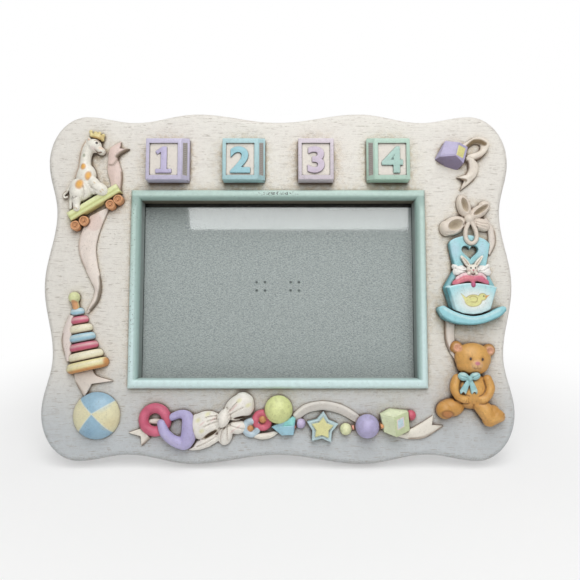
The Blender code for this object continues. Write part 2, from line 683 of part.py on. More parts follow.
def stacking_toy(rail):
    """A stacking toy: knob, post, six rings and a base, leaning to the right.

    Each ring has its place, turn and width, and its thickness as a share of STACK_RING_T.
    """
    pieces = []
    for name, material, u, v, turn, width, tall in (
        ("stack_base", ORANGE, 0.5, -40.6, 12.5, 22.6, 1.21),
        ("stack_ring_6", YELLOW, -0.6, -35.6, 12.0, 18.6, 1.09),
        ("stack_ring_5", PINK, -1.8, -30.8, 11.0, 15.4, 1.0),
        ("stack_ring_4", BLUE, -2.7, -26.1, 10.5, 14.0, 1.0),
        ("stack_ring_3", YELLOW, -3.6, -21.5, 10.0, 12.4, 1.0),
        ("stack_ring_2", PINK, -4.6, -17.0, 9.0, 10.0, 0.95),
        ("stack_ring_1", BLUE, -5.8, -12.6, 8.0, 7.6, 0.91),
    ):
        half = mm(width)[0] / 2 - STACK_RING_T * tall / 2
        rim = STACK_RING_T * tall / 2 - GAP / 2
        profile = [
            (half + rim * math.sin(a), rim * math.cos(a)) for a in (math.pi * k / 6 for k in range(7))
        ]
        bm = lathe([(0.0, profile[0][1])] + profile + [(0.0, profile[-1][1])], 20)
        side_on = Matrix.Diagonal((1.0, 1.0, STACK_RELIEF, 1.0)) @ Matrix.Rotation(math.pi / 2, 4, "X")
        bmesh.ops.transform(bm, matrix=side_on, verts=bm.verts)
        bmesh.ops.bisect_plane(
            bm, geom=list(bm.verts) + list(bm.edges) + list(bm.faces),
            plane_co=(0, 0, 0), plane_no=(0, 0, 1), clear_inner=True,
        )
        bmesh.ops.holes_fill(bm, edges=[edge for edge in bm.edges if edge.is_boundary])
        pieces.append(piece(name, bm, material, rail, mm(u, v, 0.0), turn=turn))
    for upper, lower in zip(pieces[1:], pieces):
        trim(upper, lower)
    knob = ball("stack_knob", None, rail, mm(-7.2, -5.0, 0.0), *mm(2.9, 4.8, 1.2))
    post = ((0.0, 0.0, 1.0), (1.4, 3.4, 2.2))
    post = modelled("stack_post", YELLOW_GREEN, rail, mm(-6.6, -9.0, 0.0), (post,))
    trim(join(post, knob), pieces[-1])
    return pieces + [post]


def left_column(rail, moulding):
    """Giraffe, stacking toy, ball and the ribbon that runs behind them."""
    cart, giraffe = giraffe_and_cart(rail)
    toy = stacking_toy(rail)
    beach_ball = ball(
        "beach_ball", BLUE, rail, mm(5.8, -66.5, 0.0), BALL_R, BALL_H, steps=24, rings=6
    )
    beside_giraffe = dict(forks=(3.6, 0.0), edges=(
        ((16.0, 78.8), (20.0, 74.4)), ((11.4, 70.6), (14.6, 68.2)), ((9.2, 64.5), (14.6, 64.0)),
        ((9.0, 58.0), (15.2, 57.5)), ((10.5, 50.0), (15.5, 51.0)),
    ))
    under_cart = dict(edges=(
        ((-0.2, 38.6), (9.8, 43.4)), ((-3.6, 32.4), (6.0, 33.5)), ((-6.0, 24.0), (4.0, 27.0)),
        ((-5.0, 17.0), (3.2, 20.0)), ((-2.0, 10.0), (4.0, 12.0)), ((0.6, 4.0), (5.5, 5.0)),
        ((1.8, -1.0), (6.0, -1.0)), ((0.6, -6.0), (4.8, -6.6)), ((-2.2, -10.6), (1.2, -12.8)),
    ))
    beside_toy = dict(edges=(
        ((-9.9, -14.2), (-8.2, -14.6)), ((-12.6, -22.0), (-8.6, -22.0)),
        ((-13.3, -28.0), (-8.8, -28.0)), ((-12.0, -34.0), (-8.8, -34.0)),
        ((-10.4, -38.6), (-9.2, -38.4)),
    ))
    above_ball = dict(forks=(0.0, 4.6), edges=(
        ((-6.4, -44.4), (3.0, -42.4)), ((-5.0, -50.0), (5.4, -46.0)), ((-0.5, -57.0), (14.0, -48.6)),
    ))
    for name, stretch in (
        ("ribbon_giraffe", beside_giraffe), ("ribbon_streamer", under_cart),
        ("ribbon_stacker", beside_toy), ("ribbon_tail", above_ball),
    ):
        trim(ribbon(name, RIBBON, rail, **stretch), giraffe, cart, beach_ball, moulding, *toy)


def rattle(rail):
    """A rattle block seen from a corner, on a looped ribbon."""
    block = hull("rattle_block", LILAC, rail, (
        (-10.5, 79.0, 0), (-3.4, 78.2, 0), (1.6, 75.6, 0), (-1.1, 66.2, 0), (-4.0, 63.6, 0),
        (-9.2, 65.2, 0), (-15.8, 69.6, 0), (-10.5, 79.0, 3.6), (-3.5, 77.6, 5.4),
        (1.5, 75.5, 3.8), (-6.0, 70.0, 6.4), (-14.0, 70.0, 5.0), (-1.1, 66.5, 4.4),
    ), bevel=0.4)
    bow = modelled("rattle_ribbon", RIBBON, rail, mm(5.0, 70.0, 0.0), (
        ((-1.4, 1.2, 0.8), (3.4, 2.6, 2.6), 40),
        ((2.6, 6.4, 0.8), (6.2, 4.9, 3.4), 28),
        ((-0.2, -4.2, 0.6), (2.3, 6.0, 2.2), -14),
        ((-4.2, -12.0, 0.6), (1.9, 5.2, 1.9), -38),
    ), pockets=(((2.4, 6.6, 3.6), (3.4, 2.2, 3.6), 28),), steps=11)
    trim(bow, block)
    return block, bow


def cradle_bow(rail):
    """The many-looped bow that the cradle hangs from."""
    return modelled("cradle_bow", RIBBON, rail, mm(1.5, 36.5, 0.0), (
        ((0.0, 0.0, 1.6), (2.7, 2.6, 2.9), 0),
        ((-8.0, -3.2, 0.8), (7.4, 4.6, 3.4), 24),
        ((-2.3, 6.6, 0.8), (3.8, 7.0, 3.4), 16),
        ((5.2, 4.1, 0.8), (6.6, 3.5, 3.4), 36),
        ((6.0, -2.0, 0.8), (5.8, 3.0, 3.0), -16),
        ((-0.6, -7.0, 3.0), (1.5, 6.6, 2.3), -8),
        ((2.2, -7.4, 3.0), (1.5, 6.8, 2.3), 10),
    ), pockets=(
        ((-7.4, -2.8, 3.8), (3.2, 1.9, 2.8), 24),
        ((-2.4, 7.6, 3.8), (1.5, 3.2, 2.8), 16),
        ((5.8, 4.8, 3.8), (3.6, 1.3, 2.8), 36),
    ), steps=9)


def heart(width, height):
    """A heart's outline, point down, about the middle of its width."""
    spots = []
    for k in range(18):
        t = math.tau * k / 18
        x = math.sin(t) ** 3
        y = (13 * math.cos(t) - 5 * math.cos(2 * t) - 2 * math.cos(3 * t) - math.cos(4 * t)) / 29
        spots.append((x * width / 2, y * height))
    return spots


def rocker_outline():
    """The rockers' crescent; its tips keep ROCKER_CLEARANCE from the moulding.

    Each point is a share of the reach from the rail to a tip, and a height in mm.
    """
    reach = SIDE_ROOM - ROCKER_CLEARANCE
    upper = (
        (-1.0, -11.4), (-0.955, -10.1), (-0.84, -9.6), (-0.7, -10.9), (-0.54, -12.4), (-0.28, -14.1),
        (0.03, -15.0), (0.34, -14.1), (0.62, -12.0), (0.79, -10.6), (0.92, -9.8), (1.0, -10.6),
    )
    lower = (
        (1.01, -12.1), (0.83, -15.1), (0.57, -17.3), (0.27, -19.0), (-0.03, -19.6), (-0.36, -19.2),
        (-0.65, -18.0), (-0.87, -15.7),
    )
    return [(share * reach, *mm(v)) for share, v in upper + lower]


def cradle(rail):
    """The rocking cradle: headboard with a heart cut out, shell, rockers, bedding and rabbit."""
    board = piece("cradle_headboard", slab([
        mm(-9.8, 23.4), mm(-8.0, 25.6), mm(-3.0, 27.4), mm(1.0, 28.0), mm(5.4, 27.2),
        mm(9.2, 25.8), mm(12.0, 23.4), mm(10.8, 17.0), mm(9.5, 10.6), mm(-7.2, 10.6),
        mm(-8.6, 17.0),
    ], *mm(3.6, 0.5)), DUSTY_BLUE, rail)
    bm = slab(heart(*mm(8.6, 7.6)), *mm(20))
    hole = piece("heart_cut", bm, None, rail, mm(1.2, 19.2, -8.0))
    boolean(board, as_cutter(hole), "DIFFERENCE")
    bow = cradle_bow(rail)
    trim(bow, board)
    shell = piece("cradle_shell", slab([
        mm(-7.2, 10.2), mm(9.3, 10.2), mm(14.3, 0.3), mm(10.9, -11.6), mm(1.0, -14.4),
        mm(-9.6, -11.6), mm(-13.0, 0.3),
    ], *mm(2.6)), DUSTY_BLUE, rail, smooth=False)
    front = slab([
        mm(-12.0, 0.0), mm(-6.0, 1.6), mm(1.5, 2.4), mm(8.5, 1.6), mm(14.2, 0.0),
        mm(10.5, -11.6), mm(5.6, -13.6), mm(1.0, -14.2), mm(-4.2, -13.6), mm(-9.2, -11.6),
    ], *mm(6.2, 0.6))
    front_panel = as_cutter(piece("cradle_front_panel", front, None, rail))
    boolean(shell, front_panel, "UNION")
    rockers = piece(
        "cradle_rockers", slab(rocker_outline(), *mm(6.8, 0.8)), DUSTY_BLUE, rail
    )
    trim(shell, rockers)
    blanket = ribbon("cradle_blanket", PINK, rail, crest=6.6, edge=5.2, steps=2, edges=(
        ((-8.8, 3.8), (-10.0, 1.9)), ((-4.0, 6.4), (-3.6, 3.0)), ((1.6, 7.4), (1.6, 3.4)),
        ((7.0, 6.6), (6.8, 3.0)), ((11.2, 4.2), (11.8, 1.9)),
    ))
    sheet = ribbon("cradle_sheet", WHITE, rail, crest=4.0, edge=3.6, steps=2, edges=(
        ((-6.8, 10.0), (-8.6, 4.6)), ((-2.0, 10.2), (-2.0, 7.4)), ((4.0, 10.2), (4.0, 7.6)),
        ((8.9, 10.0), (10.8, 5.0)),
    ))
    rabbit = modelled("rabbit", WHITE, rail, mm(2.3, 9.2, 0.0), (
        ((0.0, 0.0, 5.0), (3.1, 2.7, 3.0), 0),
        ((-3.0, 4.4, 6.0), (1.5, 4.6, 1.7), 36),
        ((3.6, 4.4, 6.0), (1.5, 4.6, 1.7), -40),
        ((0.0, -2.0, 4.8), (3.0, 2.0, 2.4), 0),
    ), steps=9)
    trim(blanket, shell)
    trim(sheet, blanket, shell)
    trim(rabbit, blanket, shell, sheet, board)
    return board, shell, rockers, bow


def bear(rail):
    """The sitting bear with a ribbon bow at its neck."""
    bow = modelled("bear_bow", BLUE, rail, mm(-1.7, -47.0, 0.0), (
        ((0.0, 0.0, 7.0), (1.4, 1.5, 1.9), 0),
        ((-2.7, 0.6, 6.2), (2.8, 1.9, 2.0), -14),
        ((2.9, 0.8, 6.2), (2.8, 1.9, 2.0), 16),
        ((-1.5, -3.2, 7.2), (1.2, 3.4, 1.7), -24),
        ((0.7, -3.9, 7.4), (1.2, 3.8, 1.7), 14),
    ), steps=9)
    figure = modelled("bear", FUR, rail, mm(0.0, -50.0, 0.0), (
        ((0.4, -3.6, 2.0), (9.8, 9.4, 5.6), 0),
        ((1.5, 13.5, 2.4), (9.5, 8.1, 5.8), -4),
        ((-6.8, 18.5, 1.4), (3.7, 3.7, 2.6), 0),
        ((10.4, 17.1, 1.4), (3.8, 3.8, 2.6), 0),
        ((2.2, 10.2, 6.4), (3.2, 2.8, 2.6), 0),
        ((-6.6, -2.4, 4.2), (2.5, 6.4, 3.4), 24),
        ((7.6, -2.9, 4.2), (2.5, 6.2, 3.4), -16),
        ((-11.0, -12.5, 1.8), (7.2, 4.8, 4.6), 6),
        ((-14.6, -13.6, 2.2), (3.4, 4.4, 4.6), 0),
        ((6.6, -14.8, 1.8), (4.8, 7.0, 4.4), 28),
        ((11.6, -18.2, 1.8), (5.0, 3.3, 4.4), 30),
    ))
    trim(bow, figure)
    return figure


def right_column(rail):
    """Rattle, bow, cradle, bear and the ribbon that shows between them."""
    rattle(rail)
    board, shell, rockers, bow = cradle(rail)
    figure = bear(rail)
    beside_cradle = dict(edges=(
        ((8.6, 36.5), (11.0, 37.5)), ((11.6, 30.5), (15.2, 30.8)), ((11.8, 24.4), (15.6, 24.0)),
        ((9.8, 18.8), (12.6, 17.6)),
    ))
    above_bear = dict(edges=(
        ((-12.0, -17.0), (-7.0, -17.0)), ((-12.2, -27.0), (-7.4, -27.0)),
        ((-10.0, -33.4), (-5.8, -32.4)), ((-7.6, -37.0), (-4.6, -35.6)),
    ))
    for name, stretch in (("ribbon_cradle", beside_cradle), ("ribbon_bear", above_bear)):
        trim(ribbon(name, RIBBON, rail, **stretch), board, bow, rockers, figure)


def bow_of_bottom_row(rail):
    """The big bow: two puffed loops, a knot and tails."""
    return modelled("big_bow", WHITE, rail, mm(-27.7, 2.7, 0.0), (
        ((0.0, 0.0, 3.0), (2.6, 4.2, 3.6), 8),
        ((-9.6, -4.0, 1.4), (8.8, 6.8, 5.2), 18),
        ((7.6, 5.4, 1.4), (8.6, 6.4, 5.2), 34),
        ((-3.0, -2.2, 1.6), (4.6, 3.4, 4.2), 20),
        ((2.6, 2.0, 1.6), (4.6, 3.4, 4.2), 34),
        ((0.4, -8.6, 0.8), (4.0, 5.8, 3.6), -4),
        ((6.6, -5.2, 0.8), (4.4, 3.4, 3.2), 24),
        ((-8.0, -12.0, 0.6), (8.4, 2.9, 2.6), 14),
    ), pockets=(
        ((-9.6, -7.2, 5.4), (3.8, 2.6, 3.6), 34),
        ((11.4, 1.0, 5.4), (2.2, 2.4, 3.4), 10),
    ), steps=11)


def bottom_row(rail):
    """A string of teething rings, beads and small toys with a bow, hung along the bottom rail."""
    red = hoop("red_ring", PINK, rail, mm(-63.5, 1.5, 0.0), *mm(8.7, 2.7), steps=24)
    bow = bow_of_bottom_row(rail)
    link = modelled("lilac_link", LILAC, rail, mm(-52.0, -2.5, 0.0), (
        ((-3.6, -4.4, 2.4), (8.4, 2.7, 3.6), -46),
        ((5.6, -2.6, 1.6), (2.7, 10.0, 3.3), 4),
        ((1.6, 7.0, 1.6), (6.6, 2.5, 3.3), 4),
        ((3.8, -10.2, 1.6), (3.6, 2.4, 3.0), 0),
        ((-5.6, 1.6, 3.4), (2.6, 6.0, 3.4), -36),
    ))
    trim(link, red, bow)
    teether = hoop("blue_teether", BLUE, rail, mm(-13.7, -2.6, 0.0), *mm(5.2, 1.7), steps=18)
    trim(teether, bow)
    small = hoop("pink_ring", PINK, rail, mm(-8.0, 1.2, 0.0), *mm(5.6, 1.9), steps=18)
    green = ball("green_ball", YELLOW_GREEN, rail, mm(0.5, 6.9, 0.0), *mm(7.3, 8.4, 2.2), steps=20)
    trim(small, green)
    trim(teether, small)
    aqua = hull("aqua_brick", BLUE, rail, (
        (-3.2, -2.0, 0), (3.0, 1.6, 0), (7.5, 3.5, 0), (9.6, 2.5, 0), (8.2, -1.0, 0),
        (8.4, -6.2, 0), (2.0, -6.4, 0), (-3.2, -2.0, 3.2), (3.0, 1.4, 4.6), (7.4, 3.3, 3.6),
        (9.2, 2.3, 3.2), (7.9, -1.0, 4.6), (8.2, -6.0, 3.8), (2.1, -6.2, 3.8),
    ), bevel=0.3)
    trim(aqua, green)
    centre = mm(23.0, -2.5, 0.0)
    border = slab(star_points(*mm(8.4, 4.5), 86), *mm(4.2, 0.6))
    star = piece("star", border, BLUE, rail, centre, smooth=False)
    raised = slab(star_points(*mm(6.2, 3.2), 86), *mm(5.4, 0.7))
    join(star, piece("star_face", raised, None, rail, centre))

    lilac_ball = ball("lilac_ball", LILAC, rail, mm(46.2, -1.6, 0.0), *mm(6.2, 9.0, 3.0), steps=20)
    spacer = ball("spacer_bead", None, rail, mm(52.6, -1.7, 0.0), *mm(1.5, 3.0, 0.8), steps=10, rings=4)
    cube = hull("green_cube", GREEN, rail, (
        (52.8, 4.6, 0), (58.0, 7.4, 0), (67.4, 6.4, 0), (68.0, -3.8, 0), (61.6, -7.0, 0),
        (54.4, -4.6, 0), (52.8, 4.4, 4.6), (58.4, 6.8, 3.8), (67.2, 6.0, 4.4),
        (67.8, -3.6, 4.6), (61.2, 3.4, 7.2), (61.4, -6.8, 6.2), (54.6, -4.4, 4.6),
    ), bevel=0.4)
    red_bead = ball("red_bead", None, rail, mm(69.0, 3.8, 0.0), *mm(2.4, 4.0, 1.2), steps=12, rings=4)
    join(cube, red_bead)
    trim(join(lilac_ball, spacer), cube)
    garland = ribbon("bead_garland", RIBBON, rail, crest=1.5, edge=0.9, edges=(
        ((7.6, 3.4), (9.4, 0.2)), ((13.5, 8.4), (14.5, 5.0)), ((23.0, 10.4), (23.0, 6.8)),
        ((33.0, 8.6), (32.0, 5.2)), ((40.5, 4.4), (39.0, 1.4)), ((44.0, 1.0), (42.5, -1.0)),
    ))
    loop = ribbon("garland_loop", None, rail, crest=1.3, edge=0.8, steps=2, edges=(
        ((28.5, 1.6), (28.2, -0.4)), ((34.0, 1.8), (34.0, -1.0)), ((39.5, 1.4), (39.0, -1.4)),
        ((43.4, 0.7), (42.7, -0.7)),
    ))
    trim(join(garland, loop), star, green, lilac_ball)
    lilac = ball("lilac_bead", LILAC, rail, mm(11.9, -0.4, 0.0), *mm(2.3, 3.6, 1.1), steps=14, rings=4)
    trim(lilac, aqua, garland)
    yellow = ball("yellow_bead", YELLOW, rail, mm(35.2, -3.2, 0.0), *mm(3.1, 4.8, 1.5), steps=16, rings=4)
    trim(garland, aqua, yellow)
    under_red_ring = dict(forks=(3.6, 0.0), edges=(
        ((-77.4, -5.2), (-70.4, -12.0)), ((-69.5, -2.5), (-66.0, -8.0)),
    ))
    under_cube = dict(forks=(0.0, 4.2), edges=(
        ((58.0, -3.6), (60.0, -6.6)), ((66.0, -4.2), (68.0, -8.4)), ((73.6, -0.8), (76.4, -7.6)),
        ((80.6, 3.6), (86.0, -1.6)),
    ))
    trim(ribbon("ribbon_rings", RIBBON, rail, **under_red_ring), red)
    trim(ribbon("ribbon_cube", RIBBON, rail, **under_cube), cube)


def main():
    pose = empty("standing_frame", tilt=math.radians(90.0 - LEAN_DEG))
    frame_body(pose)
    moulding = window_moulding(pose)
    glass_and_board(pose)
    turn_buttons(pose)
    easel(pose)
    top = empty("top_rail", pose, (0.0, TOP_RAIL_V, SEAT))
    for name, material, u, side in (
        ("toy_block_1", LILAC, -60.5, 1), ("toy_block_2", BLUE, -20.0, 1),
        ("toy_block_3", PALE_PINK, 20.1, 0), ("toy_block_4", GREEN, 60.4, -1),
    ):
        toy_block(name, material, top, *mm(u), side)
    left_column(empty("left_rail", pose, (-SIDE_RAIL_U, 0.0, SEAT)), moulding)
    right_column(empty("right_rail", pose, (SIDE_RAIL_U, 0.0, SEAT)))
    bottom_row(empty("bottom_rail", pose, (0.0, BOTTOM_RAIL_V, SEAT)))
    stand_on_origin(pose)


def stand_on_origin(pose):
    """Sets the lowest edge of the back on z = 0 and the middle of the footprint at the origin."""
    lean = math.radians(LEAN_DEG)
    pose.location.z = -LOWEST_V * math.cos(lean)
    bpy.context.view_layer.update()
    graph = bpy.context.evaluated_depsgraph_get()
    reach = []
    for made in bpy.data.objects:
        if made.type == "MESH" and not made.hide_render:
            shown = made.evaluated_get(graph)
            reach += [(made.matrix_world @ vert.co).y for vert in shown.data.vertices]
    pose.location.y = -(min(reach) + max(reach)) / 2
    bpy.context.view_layer.update()


main()
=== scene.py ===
"""Looks of the baby photo frame: the antiqued cast body, its painted nursery reliefs and a studio.

Shapes are worked out in face millimetres: u to the right, v up the face and h out of it, from
the middle of the window. Stand.matrix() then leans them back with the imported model.
"""

import logging
import math
from dataclasses import dataclass, field
from enum import Enum
from typing import Any, Iterable, Optional, Sequence

import bmesh
import bpy
import numpy as np
from bmesh.types import BMesh, BMFace, BMVert
from bpy.types import Material, Mesh, Node, NodeSocket, NodeTree, Object
from mathutils import Matrix, Vector


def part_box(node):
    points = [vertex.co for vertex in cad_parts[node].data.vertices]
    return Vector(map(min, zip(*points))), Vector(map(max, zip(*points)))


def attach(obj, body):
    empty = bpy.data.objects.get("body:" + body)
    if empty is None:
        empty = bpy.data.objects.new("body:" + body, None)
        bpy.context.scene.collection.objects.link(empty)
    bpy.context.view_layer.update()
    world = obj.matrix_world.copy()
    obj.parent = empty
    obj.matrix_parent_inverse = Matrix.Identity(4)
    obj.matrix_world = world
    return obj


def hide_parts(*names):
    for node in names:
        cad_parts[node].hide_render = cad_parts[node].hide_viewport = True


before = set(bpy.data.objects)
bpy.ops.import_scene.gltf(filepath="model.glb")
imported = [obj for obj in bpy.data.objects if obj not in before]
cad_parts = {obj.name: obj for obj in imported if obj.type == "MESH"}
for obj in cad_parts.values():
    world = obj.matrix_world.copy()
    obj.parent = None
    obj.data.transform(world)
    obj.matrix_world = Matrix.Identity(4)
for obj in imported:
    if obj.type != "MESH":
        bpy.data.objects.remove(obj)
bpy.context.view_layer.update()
LOG = logging.getLogger("baby_photo_frame")

Point = Sequence[float]
Colour = tuple[float, float, float]
Span = tuple[float, float]


# Where the face stands


@dataclass(frozen=True)
class Stand:
    """How the face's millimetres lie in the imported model's metres."""

    lean_deg: float = 15.0
    glass_in: float = 8.3
    unit: float = 0.001

    def turn(self) -> Matrix:
        """The rotation that stands the face up."""
        return Matrix.Rotation(math.radians(90.0 - self.lean_deg), 4, "X")

    def origin(self) -> Vector:
        """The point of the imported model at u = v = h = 0."""
        low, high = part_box("glass_pane")
        return (low + high) / 2 + self.turn().to_3x3() @ Vector((0, 0, self.glass_in * self.unit))

    def matrix(self) -> Matrix:
        """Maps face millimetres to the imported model's metres."""
        return Matrix.Translation(self.origin()) @ self.turn() @ Matrix.Scale(self.unit, 4)


STAND = Stand()


class Rider(Enum):
    """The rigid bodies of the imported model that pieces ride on."""

    FRAME = "frame"
    LEG = "leg"


def lighter(colour: Colour, by: float, cap: float) -> Colour:
    """A colour with each part raised, up to a cap."""
    red, green, blue = (min(part + by, cap) for part in colour)
    return (red, green, blue)


def srgb(colour: Colour) -> tuple[float, float, float, float]:
    """Linear light of a colour given from 0 to 255 as it looks."""
    red, green, blue = (((c / 255 + 0.055) / 1.055) ** 2.4 for c in colour)
    return (red, green, blue, 1.0)


# Shader groups shared by the finishes


class Wiring:
    """Adds nodes to a shader tree and links them."""

    def __init__(self, tree: NodeTree) -> None:
        """Keeps the tree to work on."""
        self.tree = tree

    def feed(self, value: Any, socket: NodeSocket) -> None:
        """Links a socket to another, or sets it to a plain value."""
        if isinstance(value, NodeSocket):
            self.tree.links.new(value, socket)
        else:
            socket.default_value = value

    def node(self, kind: str, **settings: Any) -> Node:
        """Adds a node.

        Args:
            kind: the node's type name, without the ShaderNode prefix.
            settings: properties of the node; a name that starts with in_ sets an input.

        Returns:
            The new node.
        """
        made = self.tree.nodes.new("ShaderNode" + kind)
        for name, value in settings.items():
            if not name.startswith("in_"):
                setattr(made, name, value)
        for name, value in settings.items():
            if name.startswith("in_"):
                key: Any = name[3:]
                self.feed(value, made.inputs[int(key) if key.isdigit() else key.replace("_", " ")])
        return made

    def math(self, operation: str, first: Any, second: Any = 0.0) -> Any:
        """The result of a Math node on two numbers or sockets."""
        return self.node("Math", operation=operation, in_0=first, in_1=second).outputs[0]

    def times(self, first: Any, second: Any) -> Any:
        """The product of two numbers or sockets."""
        return self.math("MULTIPLY", first, second)

    def plus(self, first: Any, second: Any) -> Any:
        """The sum of two numbers or sockets."""
        return self.math("ADD", first, second)

    def minus(self, first: Any, second: Any) -> Any:
        """The first number or socket less the second."""
        return self.math("SUBTRACT", first, second)

    def positive(self, value: Any) -> Any:
        """A value without its sign."""
        return self.math("ABSOLUTE", value)

    def steps(self, value: Any, low: float, high: float) -> Any:
        """A value taken from 0 at low to 1 at high, smoothly."""
        return self.node(
            "MapRange", interpolation_type="SMOOTHSTEP", in_Value=value, in_1=low, in_2=high
        ).outputs["Result"]

    def mix(self, amount: Any, first: Any, second: Any, blend: str = "MIX") -> Any:
        """Two colours mixed by an amount."""
        node = self.node("Mix", data_type="RGBA", blend_type=blend)
        for key, value in ((0, amount), (6, first), (7, second)):
            self.feed(value, node.inputs[key])
        return node.outputs[2]

    def noise(self, where: Any, scale: float, detail: float = 2.0) -> Any:
        """A cloudy value round one half."""
        return self.node("TexNoise", in_Vector=where, in_Scale=scale, in_Detail=detail).outputs[0]

    def stretched(self, where: Any, scale: Point) -> Any:
        """A place stretched along its axes."""
        return self.node("Mapping", in_Vector=where, in_Scale=scale).outputs[0]

    def hollow(self, reach: float, low: float, high: float) -> Any:
        """1 in hollows no wider than about reach metres and 0 on open ground."""
        sky = self.node("AmbientOcclusion", samples=8, in_Distance=reach).outputs["AO"]
        return self.steps(self.minus(1.0, sky), low, high)

    def dent(self, shader: Node, height: Any, strength: float, deep: float) -> None:
        """Roughens a shader by a height, deep metres from 0 to 1."""
        bump = self.node("Bump", in_Height=height, in_Strength=strength, in_Distance=deep)
        self.tree.links.new(bump.outputs[0], shader.inputs["Normal"])


class Effects:
    """The effects that several finishes share, each a node group built once."""

    def __init__(self) -> None:
        """Builds the groups."""
        self.face_plane = self._face_plane()
        self.combed = self._combed()
        self.spatter = self._spatter()
        self.wash = self._wash()

    @staticmethod
    def _start(name: str, inputs: Sequence[tuple[str, str, Any]], outputs: Sequence[tuple[str, str]]
               ) -> tuple[NodeTree, Wiring, Any, Any]:
        """Starts a shader node group.

        Args:
            name: the group's name.
            inputs: name, socket kind and default of each input.
            outputs: name and socket kind of each output.

        Returns:
            The tree, its wiring, its input sockets by name and its output sockets by name.
        """
        tree = bpy.data.node_groups.new(name, "ShaderNodeTree")
        for title, kind, default in inputs:
            socket = tree.interface.new_socket(
                name=title, in_out="INPUT", socket_type="NodeSocket" + kind
            )
            if default is not None:
                socket.default_value = default
        for title, kind in outputs:
            tree.interface.new_socket(name=title, in_out="OUTPUT", socket_type="NodeSocket" + kind)
        entry, ending = tree.nodes.new("NodeGroupInput"), tree.nodes.new("NodeGroupOutput")
        given = {socket.name: socket for socket in entry.outputs}
        return tree, Wiring(tree), given, {socket.name: socket for socket in ending.inputs}

    def _face_plane(self) -> NodeTree:
        """Object coordinates laid in the leaning face, in millimetres."""
        tree, wiring, _, out = self._start("face_plane", (), (("Vector", "Vector"),))
        back = STAND.turn().inverted()
        place = wiring.node("TexCoord").outputs["Object"]
        turned = wiring.node("Mapping", in_Vector=place, in_Rotation=back.to_euler(),
                             in_Location=-(back @ STAND.origin()))
        scaled = wiring.node(
            "VectorMath", operation="SCALE", in_0=turned.outputs[0], in_Scale=1 / STAND.unit
        )
        tree.links.new(scaled.outputs[0], out["Vector"])
        return tree

    def _combed(self) -> NodeTree:
        """Broken thin dashes along u, as if the wet face had been combed with a blunt point."""
        tree, wiring, given, out = self._start(
            "combed_dashes",
            (("Vector", "Vector", None), ("Length", "Float", 7.0), ("Width", "Float", 0.55),
             ("Share", "Float", 0.62)),
            (("Mask", "Float"),),
        )
        parts = wiring.node("SeparateXYZ", in_Vector=given["Vector"]).outputs
        along = wiring.math("DIVIDE", parts["X"], given["Length"])
        up = wiring.math("DIVIDE", parts["Y"], given["Width"])
        cells = wiring.node("CombineXYZ", in_X=along, in_Y=up, in_Z=parts["Z"]).outputs[0]
        over = wiring.minus(wiring.noise(cells, 1.0, 1.0), given["Share"])
        broken = wiring.steps(wiring.noise(given["Vector"], 0.5, 3.0), 0.40, 0.52)
        mask = wiring.times(wiring.steps(over, 0.0, 0.05), broken)
        tree.links.new(mask, out["Mask"])
        return tree

    def _spatter(self) -> NodeTree:
        """Fine spatter, denser where Crowding is high."""
        tree, wiring, given, out = self._start(
            "spatter",
            (("Vector", "Vector", None), ("Scale", "Float", 2.4), ("Crowding", "Float", 0.0)),
            (("Mask", "Float"),)
        )
        fine = wiring.node(
            "TexNoise", in_Vector=given["Vector"], in_Scale=given["Scale"], in_Detail=2.0
        ).outputs[0]
        lift = wiring.times(given["Crowding"], 0.15)
        broad = wiring.times(wiring.noise(given["Vector"], 0.12), 0.1)
        level = wiring.plus(fine, wiring.plus(lift, broad))
        tree.links.new(wiring.steps(level, 0.69, 0.75), out["Mask"])
        return tree

    def _wash(self) -> NodeTree:
        """A brown wash, wiped off high places and left in hollows: antiquing and painted shade."""
        tree, wiring, given, out = self._start(
            "antique_wash_and_shade",
            (("Colour", "Color", None), ("Wash", "Color", srgb((104, 78, 58))),
             ("Hollow", "Float", 0.0), ("Amount", "Float", 0.8), ("Vector", "Vector", None),
             ("Mottle", "Float", 0.05)),
            (("Colour", "Color"), ("Height", "Float"), ("Roughness", "Float")),
        )
        soft = wiring.noise(given["Vector"], 0.45, 4.0)
        fine = wiring.noise(given["Vector"], 2.6, 3.0)
        patchy = wiring.plus(wiring.steps(fine, 0.3, 0.62), 0.55)
        # Where Hollow is high the colour darkens: partly antique wash, partly painted shade in
        # creases.
        held = wiring.times(wiring.times(given["Hollow"], given["Amount"]), patchy)
        held = wiring.math("MINIMUM", held, 1.0)
        cloud = wiring.plus(soft, wiring.times(wiring.minus(fine, 0.5), 0.8))
        swing = wiring.times(wiring.minus(cloud, 0.5), 5.0)
        swing = wiring.plus(wiring.times(swing, given["Mottle"]), 1.0)
        shade = wiring.node("CombineXYZ", in_X=swing, in_Y=swing, in_Z=swing).outputs[0]
        tinted = wiring.mix(1.0, given["Colour"], shade, "MULTIPLY")
        tree.links.new(wiring.mix(held, tinted, given["Wash"]), out["Colour"])
        tree.links.new(cloud, out["Height"])
        tree.links.new(wiring.times(held, 0.3), out["Roughness"])
        return tree


# Finishes


class Finish:
    """A material made once and used by name."""

    name: str

    def wire(self, wiring: Wiring, shader: Node, plane: Any, effects: Effects) -> None:
        """Wires the material's nodes into its shader."""
        raise NotImplementedError

    def material(self, effects: Effects) -> Material:
        """The finish's material, made on the first call.

        Args:
            effects: the shared node groups.

        Returns:
            The material.
        """
        known = bpy.data.materials.get(self.name)
        if known:
            return known
        made = bpy.data.materials.new(self.name)
        made.use_nodes = True
        wiring = Wiring(made.node_tree)
        plane = self.use(wiring, effects.face_plane)["Vector"]
        self.wire(wiring, made.node_tree.nodes["Principled BSDF"], plane, effects)
        return made

    @staticmethod
    def use(wiring: Wiring, tree: NodeTree, **inputs: Any) -> Any:
        """The outputs of a shared group placed with its inputs set by name."""
        return wiring.node(
            "Group", node_tree=tree, **{f"in_{k}": v for k, v in inputs.items()}
        ).outputs


